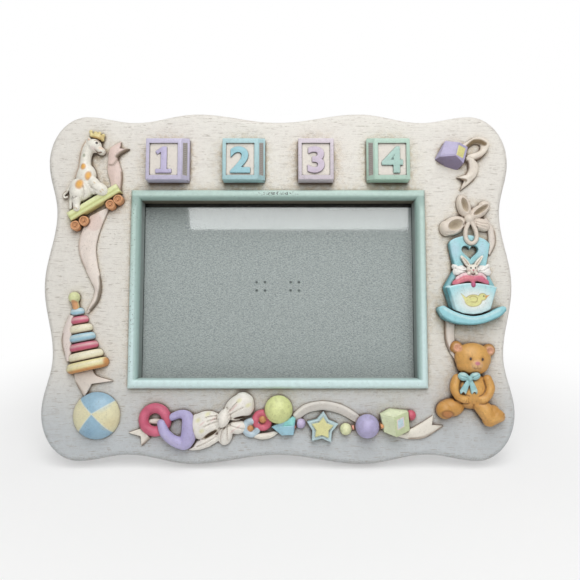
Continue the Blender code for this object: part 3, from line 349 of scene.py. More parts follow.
@dataclass(frozen=True)
class HandPainted(Finish):
    """Satin paint on cast resin, its colours brushed on in the piece's own attribute."""

    name: str = "hand_painted"
    gloss: float = 0.45
    coat: float = 0.08
    # Colour of the brown wash in the hollows, which also serves as painted shade.
    wash: Colour = (98, 70, 50)
    amount: float = 0.85
    mottle: float = 0.06
    bump: float = 0.3
    reach: float = 0.0016
    open_from: float = 0.16

    def wire(self, wiring: Wiring, shader: Node, plane: Any, effects: Effects) -> None:
        """Wires paint, the wash with its painted shade in hollows, and bump."""
        paint = wiring.node("Attribute", attribute_name="paint").outputs["Color"]
        # Brown wash in the hollows: partly antiquing, partly painted shade in creases.
        wash = self.use(
            wiring, effects.wash, Colour=paint, Wash=srgb(self.wash), Vector=plane,
            Hollow=wiring.hollow(self.reach, self.open_from, 0.6), Amount=self.amount,
            Mottle=self.mottle
        )
        specks = self.use(wiring, effects.spatter, Vector=plane, Scale=1.9, Crowding=0.1)["Mask"]
        flecked = wiring.mix(wiring.times(specks, 0.35), wash["Colour"], srgb(self.wash))
        wiring.feed(flecked, shader.inputs["Base Color"])
        wiring.feed(wiring.plus(wash["Roughness"], self.gloss), shader.inputs["Roughness"])
        shader.inputs["Coat Weight"].default_value = self.coat
        shader.inputs["Coat Roughness"].default_value = 0.3
        wiring.dent(shader, wash["Height"], self.bump, 0.0004)


@dataclass(frozen=True)
class AntiquedFace(Finish):
    """The cream face: combed dashes, wash and painted shade, ochre spatter round the reliefs.

    Each range is in face millimetres, from where its effect starts to where it is full.
    """

    name: str = "cream_antiqued_paint"
    colour: Colour = (232, 228, 220)
    # Painted shade: the darker colour that the face turns to towards the bottom.
    lower_shade: Colour = (198, 202, 204)
    dash: Colour = (156, 142, 128)
    # Dark brown of the wash and spots, also the colour of the painted shadows under the blocks.
    line: Colour = (96, 76, 58)
    ochre: Colour = (204, 184, 150)
    shaded_towards_bottom: Span = (-28.0, -80.0)
    stained: Span = (-110.0, -20.0)
    front: Span = (-2.4, -1.2)
    # Painted shadows under the toy blocks: the row's middle, each block's distance from it, and
    # spans.
    row_middle: float = 40.2
    from_middle: float = 20.25
    beside_block: Span = (10.8, 8.0)
    under_block: Span = (53.6, 57.2)
    behind_block: Span = (66.0, 62.0)

    def wire(self, wiring: Wiring, shader: Node, plane: Any, effects: Effects) -> None:
        """Wires face colour, dashes, wash, spatter, painted shade and painted shadows."""
        parts = wiring.node("SeparateXYZ", in_Vector=plane).outputs
        # Painted shade: the face darkens towards the bottom.
        base = wiring.mix(
            wiring.steps(parts["Y"], *self.shaded_towards_bottom), srgb(self.colour), srgb(self.lower_shade)
        )
        broad = wiring.hollow(0.011, 0.03, 0.42)
        patches = wiring.steps(wiring.noise(plane, 0.35, 5.0), 0.38, 0.62)
        stain = wiring.times(broad, wiring.plus(patches, 0.35))
        stain = wiring.times(stain, wiring.steps(parts["Y"], *self.stained))
        base = wiring.mix(wiring.times(stain, 0.5), base, srgb(self.ochre))
        # The wash darkens the face round each relief's foot: partly antique wash, partly painted
        # shade.
        wash = self.use(
            wiring, effects.wash, Colour=base, Wash=srgb(self.line), Vector=plane,
            Hollow=wiring.hollow(0.0026, 0.2, 0.55), Amount=0.75, Mottle=0.03
        )
        bold = self.use(wiring, effects.combed, Vector=plane)["Mask"]
        faint = self.use(
            wiring, effects.combed, Vector=plane, Length=11.0, Width=1.0, Share=0.53
        )["Mask"]
        spots = self.use(wiring, effects.spatter, Vector=plane, Crowding=broad)["Mask"]
        front = wiring.steps(parts["Z"], *self.front)
        colour = wiring.mix(
            wiring.times(wiring.times(faint, 0.1), front), wash["Colour"], srgb(self.dash)
        )
        colour = wiring.mix(wiring.times(wiring.times(bold, 0.5), front), colour, srgb(self.dash))
        colour = wiring.mix(wiring.times(spots, 0.4), colour, srgb(self.line))
        # Painted shadow on the face under each toy block.
        fold = wiring.positive(wiring.minus(wiring.positive(parts["X"]), self.row_middle))
        fold = wiring.positive(wiring.minus(fold, self.from_middle))
        shade = wiring.steps(fold, *self.beside_block)
        for reach in (self.under_block, self.behind_block):
            shade = wiring.times(shade, wiring.steps(parts["Y"], *reach))
        shade = wiring.times(wiring.times(shade, front), 0.95)
        colour = wiring.mix(shade, colour, srgb(self.line))
        wiring.feed(colour, shader.inputs["Base Color"])
        wiring.feed(wiring.plus(wash["Roughness"], 0.55), shader.inputs["Roughness"])
        level = wiring.minus(wash["Height"], wiring.times(bold, 1.0))
        wiring.dent(shader, level, 0.35, 0.0003)


@dataclass(frozen=True)
class MouldingPaint(Finish):
    """Aqua paint with dark rubbed flecks along the bead, a grey inner wall and painted shade.

    Each range is in face millimetres, from where its effect starts to where it is full.
    """

    name: str = "aqua_rubbed_paint"
    upper: Colour = (190, 213, 204)
    lower: Colour = (214, 237, 236)
    # inner is painted shade on the beads' inner halves; shaded is painted shade on the wall under
    # the top.
    inner: Colour = (138, 166, 158)
    fleck: Colour = (58, 58, 52)
    reveal: Colour = (146, 158, 154)
    shaded: Colour = (100, 94, 78)
    paler: Span = (50.0, -48.0)
    under_top: Span = (46.6, 47.1)
    inner_side: Span = (75.6, 74.4)
    inner_end: Span = (48.6, 47.4)
    inner_top: tuple[Span, Span] = ((49.4, 48.4), (40.0, 46.0))
    wall: Span = (1.2, -1.0)
    flecked_middle: Span = (17.0, 4.0)
    flecked_top: tuple[Span, Span] = ((48.6, 49.6), (51.6, 50.8))
    flecked_left: Span = (-73.4, -76.5)

    def wire(self, wiring: Wiring, shader: Node, plane: Any, effects: Effects) -> None:
        """Wires colour with its painted shade, flecks and bump."""
        parts = wiring.node("SeparateXYZ", in_Vector=plane).outputs
        # The wash also lays painted shade in the hollows.
        wash = self.use(
            wiring, effects.wash, Wash=srgb((84, 98, 90)), Vector=plane, Mottle=0.05,
            Colour=wiring.mix(
                wiring.steps(parts["Y"], *self.paler), srgb(self.upper), srgb(self.lower)
            ), Hollow=wiring.hollow(0.002, 0.2, 0.6), Amount=0.7
        )
        # The inner wall, with painted shade under the top bead.
        wall = wiring.mix(
            wiring.steps(parts["Y"], *self.under_top), srgb(self.reveal), srgb(self.shaded)
        )
        # Painted shade on the inner halves of the beads.
        aside = wiring.positive(parts["X"])
        sides = wiring.times(
            wiring.steps(aside, *self.inner_side),
            wiring.steps(wiring.positive(parts["Y"]), *self.inner_end)
        )
        over = wiring.times(
            wiring.steps(parts["Y"], *self.inner_top[0]),
            wiring.steps(parts["Y"], *self.inner_top[1])
        )
        bead_inner_shade = wiring.times(wiring.math("MAXIMUM", sides, over), 0.6)
        bead = wiring.mix(bead_inner_shade, wash["Colour"], srgb(self.inner))
        colour = wiring.mix(wiring.steps(parts["Z"], *self.wall), bead, wall)
        worn = wiring.steps(aside, *self.flecked_middle)
        for reach in self.flecked_top:
            worn = wiring.times(worn, wiring.steps(parts["Y"], *reach))
        left = wiring.steps(parts["X"], *self.flecked_left)
        crowd = wiring.plus(wiring.times(worn, 1.5), wiring.times(left, 0.6))
        crowd = wiring.minus(crowd, 0.5)
        flecks = self.use(wiring, effects.spatter, Vector=wiring.stretched(plane, (0.7, 1.0, 1.0)),
                          Scale=1.6, Crowding=crowd)["Mask"]
        wiring.feed(
            wiring.mix(wiring.times(flecks, 0.8), colour, srgb(self.fleck)),
            shader.inputs["Base Color"]
        )
        shader.inputs["Roughness"].default_value = 0.42
        wiring.dent(shader, wash["Height"], 0.25, 0.0004)


@dataclass(frozen=True)
class Linen(Finish):
    """The grey-green cloth on the back panel, with a painted shadow where it runs under the lip."""

    name: str = "linen_cloth"
    thread: Colour = (190, 196, 194)
    shade: Colour = (144, 150, 150)
    # Colour of the painted shadow under the lip.
    lip_shadow: Colour = (24, 24, 20)
    pitch: float = 0.6
    lit_to: Span = (72.9, 45.3)
    covered: Span = (-11.0, -10.0)

    def wire(self, wiring: Wiring, shader: Node, plane: Any, effects: Effects) -> None:
        """Wires threads, slubs and the painted shadow under the lip."""
        parts = wiring.node("SeparateXYZ", in_Vector=plane).outputs
        waves = [
            wiring.math("SINE", wiring.times(parts[axis], math.tau / self.pitch))
            for axis in ("X", "Y")
        ]
        threads = wiring.times(wiring.plus(waves[0], waves[1]), 0.25)
        slub = wiring.noise(wiring.stretched(plane, (0.4, 1.9, 1.0)), 2.0, 3.0)
        grit = wiring.noise(plane, 2.2, 3.0)
        level = wiring.plus(wiring.times(slub, 0.5), wiring.times(grit, 0.5))
        level = wiring.plus(level, wiring.times(threads, 0.12))
        cloth = wiring.mix(wiring.steps(level, 0.43, 0.57), srgb(self.shade), srgb(self.thread))
        # Painted shadow along the top and sides, where the cloth runs under the lip.
        under = wiring.math(
            "MAXIMUM", wiring.steps(parts["Y"], self.lit_to[1], self.lit_to[1] + 0.3),
            wiring.steps(wiring.positive(parts["X"]), self.lit_to[0], self.lit_to[0] + 0.4)
        )
        under = wiring.times(under, wiring.steps(parts["Z"], *self.covered))
        wiring.feed(wiring.mix(under, cloth, srgb(self.lip_shadow)), shader.inputs["Base Color"])
        shader.inputs["Roughness"].default_value = 0.9
        shader.inputs["Sheen Weight"].default_value = 0.1
        wiring.dent(shader, level, 0.3, 0.0003)


@dataclass(frozen=True)
class WindowGlass(Finish):
    """Thin clear glass that lets the light through to the panel."""

    name: str = "thin_glass"

    def wire(self, wiring: Wiring, shader: Node, plane: Any, effects: Effects) -> None:
        """Wires the glass, open to the light's rays."""
        shader.inputs["Base Color"].default_value = (0.95, 0.98, 0.97, 1.0)
        shader.inputs["Transmission Weight"].default_value = 1.0
        shader.inputs["IOR"].default_value = 1.5
        smear = wiring.noise(plane, 0.05, 5.0)
        wiring.feed(wiring.times(smear, 0.06), shader.inputs["Roughness"])
        clear = wiring.node("BsdfTransparent").outputs[0]
        rays = wiring.node("LightPath").outputs
        through = wiring.math("MAXIMUM", rays["Is Shadow Ray"], rays["Is Diffuse Ray"])
        both = wiring.node("MixShader", in_0=through, in_1=shader.outputs[0], in_2=clear)
        wiring.feed(both.outputs[0], wiring.tree.nodes["Material Output"].inputs["Surface"])


@dataclass(frozen=True)
class ZincPlate(Finish):
    """Stamped zinc-plated steel with a faint brushed grain and dull clouds."""

    name: str = "brushed_zinc"
    colour: Colour = (188, 190, 192)
    dull: Colour = (138, 138, 138)

    def wire(self, wiring: Wiring, shader: Node, plane: Any, effects: Effects) -> None:
        """Wires the brushed metal."""
        brushed = wiring.noise(wiring.stretched(plane, (0.3, 6.0, 1.0)), 2.0, 4.0)
        cloudy = wiring.steps(wiring.noise(plane, 0.35, 3.0), 0.35, 0.7)
        rim = wiring.hollow(0.002, 0.1, 0.6)
        dull = wiring.math("MAXIMUM", wiring.times(cloudy, 0.6), rim)
        wiring.feed(
            wiring.mix(dull, srgb(self.colour), srgb(self.dull)), shader.inputs["Base Color"]
        )
        shader.inputs["Metallic"].default_value = 1.0
        rough = wiring.plus(wiring.times(brushed, 0.3), 0.22)
        wiring.feed(rough, shader.inputs["Roughness"])
        wiring.dent(shader, brushed, 0.2, 0.0002)


@dataclass(frozen=True)
class Hardboard(Finish):
    """Dark pressed board: mottled fibres and a faint pebbled face."""

    name: str = "pressed_board"
    colour: Colour = (78, 64, 54)
    fibre: Colour = (124, 106, 88)

    def wire(self, wiring: Wiring, shader: Node, plane: Any, effects: Effects) -> None:
        """Wires fibres and pebbles."""
        fibres = wiring.noise(plane, 0.9, 6.0)
        hairs = wiring.noise(wiring.stretched(plane, (3.0, 0.5, 1.0)), 1.5, 3.0)
        level = wiring.plus(wiring.times(fibres, 0.6), wiring.times(hairs, 0.4))
        wiring.feed(
            wiring.mix(wiring.steps(level, 0.36, 0.66), srgb(self.colour), srgb(self.fibre)),
            shader.inputs["Base Color"]
        )
        shader.inputs["Roughness"].default_value = 0.75
        wiring.dent(shader, level, 0.6, 0.0004)


PAINT = HandPainted()
SOFT_PAINT = HandPainted(name="hand_painted_ribbon", wash=(112, 88, 72), mottle=0.04, coat=0.04)
RIVET_PAINT = HandPainted(name="dull_rivets", wash=(128, 134, 132), amount=0.3)
BLOCK_PAINT = HandPainted(
    name="hand_painted_block", wash=(84, 76, 72), amount=0.9, reach=0.0011, mottle=0.04
)
FACE, MOULDING, LINEN, GLASS = AntiquedFace(), MouldingPaint(), Linen(), WindowGlass()
ZINC, BOARD = ZincPlate(), Hardboard()


# Shaping, in millimetres: where the reliefs are cut off under the face, how near corners are
# merged, and the height above which scores show

BED = -0.15
WELD = 0.001
SCORED_ABOVE = 0.4


def smooth_path(points: Sequence[Point], steps: int = 8, closed: bool = False) -> np.ndarray:
    """Points along a smooth curve through the given ones.

    Args:
        points: what the curve passes through; any number of values each.
        steps: how many points each span is divided into.
        closed: whether the curve joins up with its start.

    Returns:
        One row for each point of the curve.
    """
    given = np.array(points, float)
    count = len(given)
    rows = []
    for k in range(count if closed else count - 1):
        ids = [k - 1, k, k + 1, k + 2]
        ids = [i % count for i in ids] if closed else [min(max(i, 0), count - 1) for i in ids]
        a, b, c, d = given[ids]
        for j in range(steps):
            t = j / steps
            rows.append(0.5 * (2 * b + (c - a) * t + (2 * a - 5 * b + 4 * c - d) * t**2
                               + (3 * b - a - 3 * c + d) * t**3))
    if not closed:
        rows.append(given[-1])
    return np.array(rows)


def line_distance(spots: np.ndarray, line: np.ndarray) -> np.ndarray:
    """How far spots are from a line of points.

    Args:
        spots: (u, v) of each spot.
        line: (u, v) of each point of the line.

    Returns:
        The distance of each spot.
    """
    best = np.full(len(spots), 1e9)
    for start, end in zip(line[:, :2], line[1:, :2]):
        span = end - start
        along = np.clip(((spots - start) @ span) / max(float(span @ span), 1e-9), 0, 1)
        best = np.minimum(best, np.hypot(*(spots - start - along[:, None] * span).T))
    return best


def inside(spots: np.ndarray, outline: np.ndarray) -> np.ndarray:
    """Which spots lie inside a closed outline.

    Args:
        spots: (u, v) of each spot.
        outline: (u, v) of each corner.

    Returns:
        True for each spot inside.
    """
    found = np.zeros(len(spots), bool)
    for (au, av), (bu, bv) in zip(outline, np.roll(outline, -1, axis=0)):
        if av != bv:
            crosses = (av > spots[:, 1]) != (bv > spots[:, 1])
            found ^= crosses & (spots[:, 0] < (bu - au) * (spots[:, 1] - av) / (bv - av) + au)
    return found


def ellipse_depth(spots: np.ndarray, centre: Point, size: Point, turn: float) -> np.ndarray:
    """How far out spots are in an ellipse.

    Args:
        spots: (u, v) of each spot.
        centre: the ellipse's centre.
        size: its half sizes.
        turn: its turn in degrees.

    Returns:
        0 at the centre and 1 on the edge.
    """
    angle = math.radians(turn)
    away = spots - np.array(centre[:2])
    along = away[:, 0] * math.cos(angle) + away[:, 1] * math.sin(angle)
    across = -away[:, 0] * math.sin(angle) + away[:, 1] * math.cos(angle)
    return np.hypot(along / size[0], across / size[1])


def placed(name: str, data: Any) -> Object:
    """A new object in the scene."""
    made = bpy.data.objects.new(name, data)
    bpy.context.collection.objects.link(made)
    return made


def settled(thing: Object) -> Mesh:
    """The mesh that an object comes to with its modifiers; the object is used up."""
    graph = bpy.context.evaluated_depsgraph_get()
    mesh = bpy.data.meshes.new_from_object(thing.evaluated_get(graph), depsgraph=graph)
    bpy.data.objects.remove(thing)
    return mesh


def verts_in(parts: Iterable[Any]) -> list[BMVert]:
    """The vertices among the parts of a form."""
    return [part for part in parts if isinstance(part, BMVert)]


def front_of(form: BMesh, side: int = 1) -> BMFace:
    """The foremost face of a form, or the hindmost where side is -1."""
    return max(form.faces, key=lambda face: side * face.calc_center_median().z)


def soften(form: BMesh, edges: Iterable[Any], width: float, segments: int,
           clamped: bool = False) -> None:
    """Rounds edges off.

    Args:
        form: the form they belong to.
        edges: the edges.
        width: how wide the rounding is.
        segments: how many steps it has.
        clamped: whether it stops where it would meet another.
    """
    bmesh.ops.bevel(form, geom=list(edges), offset=width, segments=segments, profile=0.5,
                    affect="EDGES", material=-1, clamp_overlap=clamped)


def spun(degrees: float) -> Matrix:
    """A turn in the plane of the face."""
    return Matrix.Rotation(math.radians(degrees), 4, "Z")


def mesh_of(form: BMesh, place: Optional[Matrix] = None) -> Mesh:
    """Finishes a form: moves it, merges doubles and turns its faces outwards.

    Args:
        form: the form, which is used up.
        place: where it goes.

    Returns:
        Its mesh.
    """
    if place:
        bmesh.ops.transform(form, matrix=place, verts=form.verts)
    bmesh.ops.remove_doubles(form, verts=form.verts, dist=WELD)
    bmesh.ops.recalc_face_normals(form, faces=form.faces)
    mesh = bpy.data.meshes.new("shape")
    form.to_mesh(mesh)
    form.free()
    return mesh


def bedded(form: BMesh, level: float = BED) -> None:
    """Cuts a form flat just under the face and closes it."""
    parts = list(form.verts) + list(form.edges) + list(form.faces)
    bmesh.ops.bisect_plane(
        form, geom=parts, plane_co=(0, 0, level), plane_no=(0, 0, 1), clear_inner=True
    )
    bmesh.ops.holes_fill(form, edges=[edge for edge in form.edges if edge.is_boundary])


def revolved(profile: Sequence[Point], steps: int = 48) -> BMesh:
    """A form turned about h from (radius, height) points."""
    form = bmesh.new()
    verts = [form.verts.new((radius, 0.0, height)) for radius, height in profile]
    edges = [form.edges.new(pair) for pair in zip(verts, verts[1:])]
    bmesh.ops.spin(form, geom=verts + edges, cent=(0, 0, 0), axis=(0, 0, 1), angle=math.tau,
                   steps=steps, use_merge=True)
    return form


def prism(outline: Sequence[Point], low: float, high: float) -> BMesh:
    """A flat shape raised from low to high."""
    form = bmesh.new()
    base = form.faces.new([form.verts.new((p[0], p[1], low)) for p in outline])
    raised = bmesh.ops.extrude_face_region(form, geom=[base])["geom"]
    bmesh.ops.translate(form, verts=verts_in(raised), vec=(0, 0, high - low))
    bmesh.ops.recalc_face_normals(form, faces=form.faces)
    return form


class Clay:
    """A cast relief, built up from overlapping forms and melted into one skin."""

    def __init__(self, offset: Point = (0.0, 0.0)) -> None:
        """Starts empty; offset moves all that is added."""
        self.form = bmesh.new()
        self.offset = Vector((offset[0], offset[1], 0.0))
        self.pockets: list[tuple[Point, Point, float]] = []
        self.scores: list[tuple[np.ndarray, float, float]] = []

    def lump(self, centre: Point, size: Point, turn: float = 0.0) -> "Clay":
        """Adds an egg shape: its centre and half sizes, turned in the plane by degrees."""
        place = Matrix.Translation(Vector(centre) + self.offset)
        place = place @ spun(turn) @ Matrix.Diagonal((*size, 1.0))
        bmesh.ops.create_uvsphere(self.form, u_segments=28, v_segments=18, radius=1.0, matrix=place)
        return self

    def rope(self, points: Sequence[Point], flat: float = 1.0, closed: bool = False) -> "Clay":
        """Adds a rope through points of (u, v, h, radius), its height flattened by flat."""
        for u, v, h, radius in smooth_path(points, 7, closed):
            place = Matrix.Translation(Vector((u, v, h)) + self.offset)
            bmesh.ops.create_icosphere(
                self.form, subdivisions=2, radius=radius,
                matrix=place @ Matrix.Diagonal((1.0, 1.0, flat, 1.0))
            )
        return self

    def slab(self, outline: Sequence[Point], high: float, bevel: float = 0.0, turn: float = 0.0,
             at: Point = (0.0, 0.0)) -> "Clay":
        """Adds a flat shape with a bevelled front.

        Args:
            outline: its corners.
            high: its height.
            bevel: the width of the bevel.
            turn: its turn in degrees.
            at: where its own origin goes.

        Returns:
            The clay.
        """
        shape = prism(outline, -0.6, high)
        front = front_of(shape)
        if bevel:
            soften(shape, front.edges, bevel, 3, clamped=True)
        place = Matrix.Translation(Vector((at[0], at[1], 0.0)) + self.offset)
        return self.add(mesh_of(shape, place @ spun(turn)))

    def add(self, mesh: Mesh) -> "Clay":
        """Adds a ready mesh."""
        self.form.from_mesh(mesh)
        bpy.data.meshes.remove(mesh)
        return self

    def pocket(self, centre: Point, size: Point, turn: float = 0.0) -> "Clay":
        """Hollows the relief down to an egg shape's floor."""
        moved = (centre[0] + self.offset.x, centre[1] + self.offset.y, centre[2])
        self.pockets.append((moved, size, turn))
        return self

    def score(self, points: Sequence[Point], width: float = 0.5, depth: float = 0.5) -> "Clay":
        """Draws a soft groove, or a ridge where the depth is negative."""
        self.scores.append((smooth_path(points, 6) + np.array(self.offset)[:2], width, depth))
        return self

    def cast(self, voxel: float = 0.22, rounds: int = 3) -> Mesh:
        """Melts the forms together.

        Args:
            voxel: how fine the skin is, in millimetres.
            rounds: how often it is smoothed.

        Returns:
            The relief's mesh, cut flat just under the face.
        """
        rough = mesh_of(self.form)
        lump = placed("clay", rough)
        melt = lump.modifiers.new("melt", "REMESH")
        melt.mode = "VOXEL"
        melt.voxel_size = voxel
        melted = settled(lump)
        bpy.data.meshes.remove(rough)
        skin = bmesh.new()
        skin.from_mesh(melted)
        bpy.data.meshes.remove(melted)
        self._smooth(skin, 2)
        self._carve(skin)
        self._smooth(skin, rounds)
        bedded(skin)
        return mesh_of(skin)

    @staticmethod
    def _smooth(skin: BMesh, rounds: int) -> None:
        """Evens the skin out."""
        for _ in range(rounds):
            bmesh.ops.smooth_vert(skin, verts=skin.verts, factor=0.5, use_axis_x=True,
                                  use_axis_y=True, use_axis_z=True)

    def _carve(self, skin: BMesh) -> None:
        """Presses pockets and scores into the skin."""
        verts = list(skin.verts)
        place = np.array([vert.co for vert in verts])
        level = place[:, 2].copy()
        for centre, size, turn in self.pockets:
            out = ellipse_depth(place[:, :2], centre, size, turn)
            floor = centre[2] - size[2] * np.sqrt(np.clip(1 - out**2, 0, 1))
            level = np.where((out < 1) & (level > floor), floor, level)
        for line, width, depth in self.scores:
            near = line_distance(place[:, :2], line) / width
            level = np.where(level > SCORED_ABOVE, level - depth * np.exp(-(near**2) * 2), level)
        for vert, h in zip(verts, level):
            vert.co.z = float(h)


class Coat:
    """Brushes colours on a mesh, vertex by vertex, in face millimetres."""

    def __init__(self, mesh: Mesh, base: Colour, offset: Point = (0.0, 0.0)) -> None:
        """Starts with one colour all over; offset moves what is painted."""
        place = np.zeros(len(mesh.vertices) * 3)
        mesh.vertices.foreach_get("co", place)
        place = place.reshape(-1, 3)
        self.height = place[:, 2]
        self.spots = place[:, :2] - np.array(offset[:2])
        mesh.color_attributes.new("paint", "FLOAT_COLOR", "POINT")
        self.mesh = mesh
        self.colour = np.tile(np.array(srgb(base)), (len(place), 1))
        self.blend(np.zeros(len(place)), base)

    def blend(self, amount: np.ndarray, colour: Colour) -> "Coat":
        """Lays a colour on by an amount from 0 to 1 at each vertex."""
        mask = np.clip(amount, 0, 1)[:, None]
        self.colour = self.colour * (1 - mask) + np.array(srgb(colour)) * mask
        layer = self.mesh.color_attributes["paint"]
        layer.data.foreach_set("color", self.colour.astype(np.float32).ravel())
        return self

    def dab(self, centre: Point, size: Point, colour: Colour, turn: float = 0.0,
            soft: float = 0.3, amount: float = 1.0) -> "Coat":
        """Paints a soft-edged ellipse."""
        out = ellipse_depth(self.spots, centre, size, turn)
        return self.blend(amount * np.clip((1 + soft / 2 - out) / soft, 0, 1), colour)

    def stroke(self, points: Sequence[Point], width: float, colour: Colour,
               soft: float = 0.3, amount: float = 1.0) -> "Coat":
        """Paints a brush stroke along points."""
        away = line_distance(self.spots, smooth_path(points, 6))
        return self.blend(amount * np.clip((width / 2 + soft / 2 - away) / soft, 0, 1), colour)

    def area(self, outline: Sequence[Point], colour: Colour, soft: float = 0.3) -> "Coat":
        """Paints inside a closed outline."""
        edge = np.array(outline, float)
        away = line_distance(self.spots, np.vstack([edge, edge[:1]]))
        signed = np.where(inside(self.spots, edge), away, -away)
        return self.blend(signed / soft + 0.5, colour)

    def wedge(self, hub: Point, start: float, end: float, colour: Colour) -> "Coat":
        """Paints between two directions from a hub, in degrees anticlockwise from u."""
        away = self.spots - np.array(hub[:2])
        turn = (np.degrees(np.arctan2(away[:, 1], away[:, 0])) - start) % 360
        return self.blend((turn < (end - start) % 360).astype(float), colour)

    def above(self, height: float, colour: Colour, soft: float = 0.4) -> "Coat":
        """Paints what stands higher than a height."""
        return self.blend((self.height - height) / soft + 0.5, colour)

    def below(self, height: float, colour: Colour, soft: float = 0.8) -> "Coat":
        """Paints what lies lower than a height."""
        return self.blend((height - self.height) / soft + 0.5, colour)


@dataclass
class Workshop:
    """Turns finished meshes into pieces of the scene."""

    effects: Effects = field(default_factory=Effects)

    def piece(self, name: str, mesh: Mesh, finish: Finish,
              node: Optional[str] = None, rider: Rider = Rider.FRAME,
              crisp_deg: Optional[float] = None) -> Object:
        """Stands a mesh up in place and gives it its finish.

        Args:
            name: the piece's name.
            mesh: its mesh in face millimetres.
            finish: what it is coated with.
            node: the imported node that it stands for.
            rider: the body that it moves with.
            crisp_deg: edges sharper than this stay crisp; without it all are soft.

        Returns:
            The piece.
        """
        mesh.transform(STAND.matrix())
        mesh.name = name
        mesh.shade_smooth()
        if crisp_deg is not None:
            mesh.set_sharp_from_angle(angle=math.radians(crisp_deg))
        mesh.materials.clear()
        mesh.materials.append(finish.material(self.effects))
        made = placed(name, mesh)
        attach(made, rider.value)
        if node:
            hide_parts(node)
        LOG.info("%s: %d faces", name, len(mesh.polygons))
        return made

    def painted(self, name: str, mesh: Mesh, base: Colour,
                node: Optional[str] = None, finish: Finish = PAINT, offset: Point = (0.0, 0.0),
                crisp_deg: Optional[float] = None) -> Coat:
        """Makes a painted piece.

        Args:
            name: the piece's name.
            mesh: its mesh in face millimetres.
            base: its first coat.
            node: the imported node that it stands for.
            finish: what it is coated with.
            offset: moves what is painted later.
            crisp_deg: edges sharper than this stay crisp.

        Returns:
            The coat, for more colours.
        """
        coat = Coat(mesh, base, offset)
        self.piece(name, mesh, finish, node, crisp_deg=crisp_deg)
        return coat

    def dress(self, node: str, finish: Finish) -> None:
        """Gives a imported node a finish; its shape stays."""
        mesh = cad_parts[node].data
        mesh.materials.clear()
        mesh.materials.append(finish.material(self.effects))
        LOG.info("%s: dressed in %s", node, finish.name)


def cut_out(mesh: Mesh, *cuts: Mesh) -> Mesh:
    """A mesh with others cut out of it.

    Args:
        mesh: the mesh to cut.
        cuts: what is taken away.

    Returns:
        The cut mesh.
    """
    target = placed("target", mesh)
    tools = [placed("tool", cut) for cut in cuts]
    for tool in tools:
        modifier = target.modifiers.new("cut", "BOOLEAN")
        modifier.solver = "EXACT"
        modifier.object = tool
    result = settled(target)
    for used in tools:
        bpy.data.objects.remove(used)
    return result


# Colours of the paints, as they look

IVORY: Colour = (236, 230, 218)
RIBBON: Colour = (230, 219, 208)
# Painted shade along the turned-over and lower edges of the ribbons.
RIBBON_EDGE_SHADE: Colour = (150, 128, 110)
BLUSH: Colour = (226, 204, 194)
POWDER: Colour = (160, 202, 218)
ROSE: Colour = (204, 96, 124)
HONEY: Colour = (208, 154, 82)
INK: Colour = (58, 46, 42)


# The body and its window


@dataclass
class CastBody:
    """The cream body: waves along all four edges, round corners and a soft front edge."""

    width: float = 249.4
    height: float = 187.6
    rise: float = 2.0
    depth: float = 13.1
    lip: float = 7.0
    crest_u: float = 44.0
    dips: tuple[float, float, float] = (4.7, 4.8, 1.5)
    corner: Span = (20.3, 25.3)
    trough_in: float = 26.0
    side_trough_in: float = 29.0
    side_dips: Span = (5.5, 0.4)
    front_round: float = 3.2
    window: Span = (150.6, 99.0)
    seat: Span = (153.6, 102.8)

    def outline(self) -> list[Span]:
        """The outline, worked out for one quarter and mirrored."""
        half_w, half_h = self.width / 2, self.height / 2
        cu = half_w - self.side_dips[1] - self.corner[0]
        cv = half_h - self.dips[2] - self.corner[1]
        crest = (self.crest_u, half_h)
        trough = (cu - self.trough_in, half_h - self.dips[1])
        quarter = self._ease((0.0, half_h - self.dips[0]), crest, 14)
        quarter += self._ease(crest, trough, 12)
        quarter += self._ease(trough, (cu, half_h - self.dips[2]), 9)
        for k in range(20):
            turn = math.pi / 2 * (1 - k / 20)
            right, up = self.corner[0] * math.cos(turn), self.corner[1] * math.sin(turn)
            quarter.append((cu + right, cv + up))
        side_trough = (cv - self.side_trough_in, half_w - self.side_dips[0])
        side = self._ease((cv, half_w - self.side_dips[1]), side_trough, 11)
        side += self._ease(side_trough, (0.0, half_w), 13)
        quarter += [(u, v) for v, u in side] + [(half_w, 0.0)]
        loop = quarter + [(u, -v) for u, v in reversed(quarter[:-1])]
        loop += [(-u, -v) for u, v in quarter[1:]] + [(-u, v) for u, v in reversed(quarter[1:-1])]
        return [(u, v + self.rise) for u, v in loop]

    @staticmethod
    def _ease(start: Point, end: Point, steps: int) -> list[Span]:
        """Points from start up to end along half a cosine wave."""
        return [(start[0] + (end[0] - start[0]) * k / steps,
                 start[1] + (end[1] - start[1]) * (1 - math.cos(math.pi * k / steps)) / 2)
                for k in range(steps)]

    def build(self, shop: Workshop) -> None:
        """Makes the body."""
        form = prism(self.outline(), -self.depth, 0.0)
        for side, offset in ((1, self.front_round), (-1, 0.8)):
            flat = front_of(form, side)
            soften(form, flat.edges, offset, 8)
        w, h = self.window[0] / 2, self.window[1] / 2
        sw, sh = self.seat[0] / 2, self.seat[1] / 2
        through = prism([(-w, -h), (w, -h), (w, h), (-w, h)], -20, 5)
        seat = prism([(-sw, -sh), (sw, -sh), (sw, sh), (-sw, sh)], -20, -self.lip)
        mesh = cut_out(mesh_of(form), mesh_of(through), mesh_of(seat))
        shop.piece("cast_body", mesh, FACE, "frame_body", crisp_deg=35)


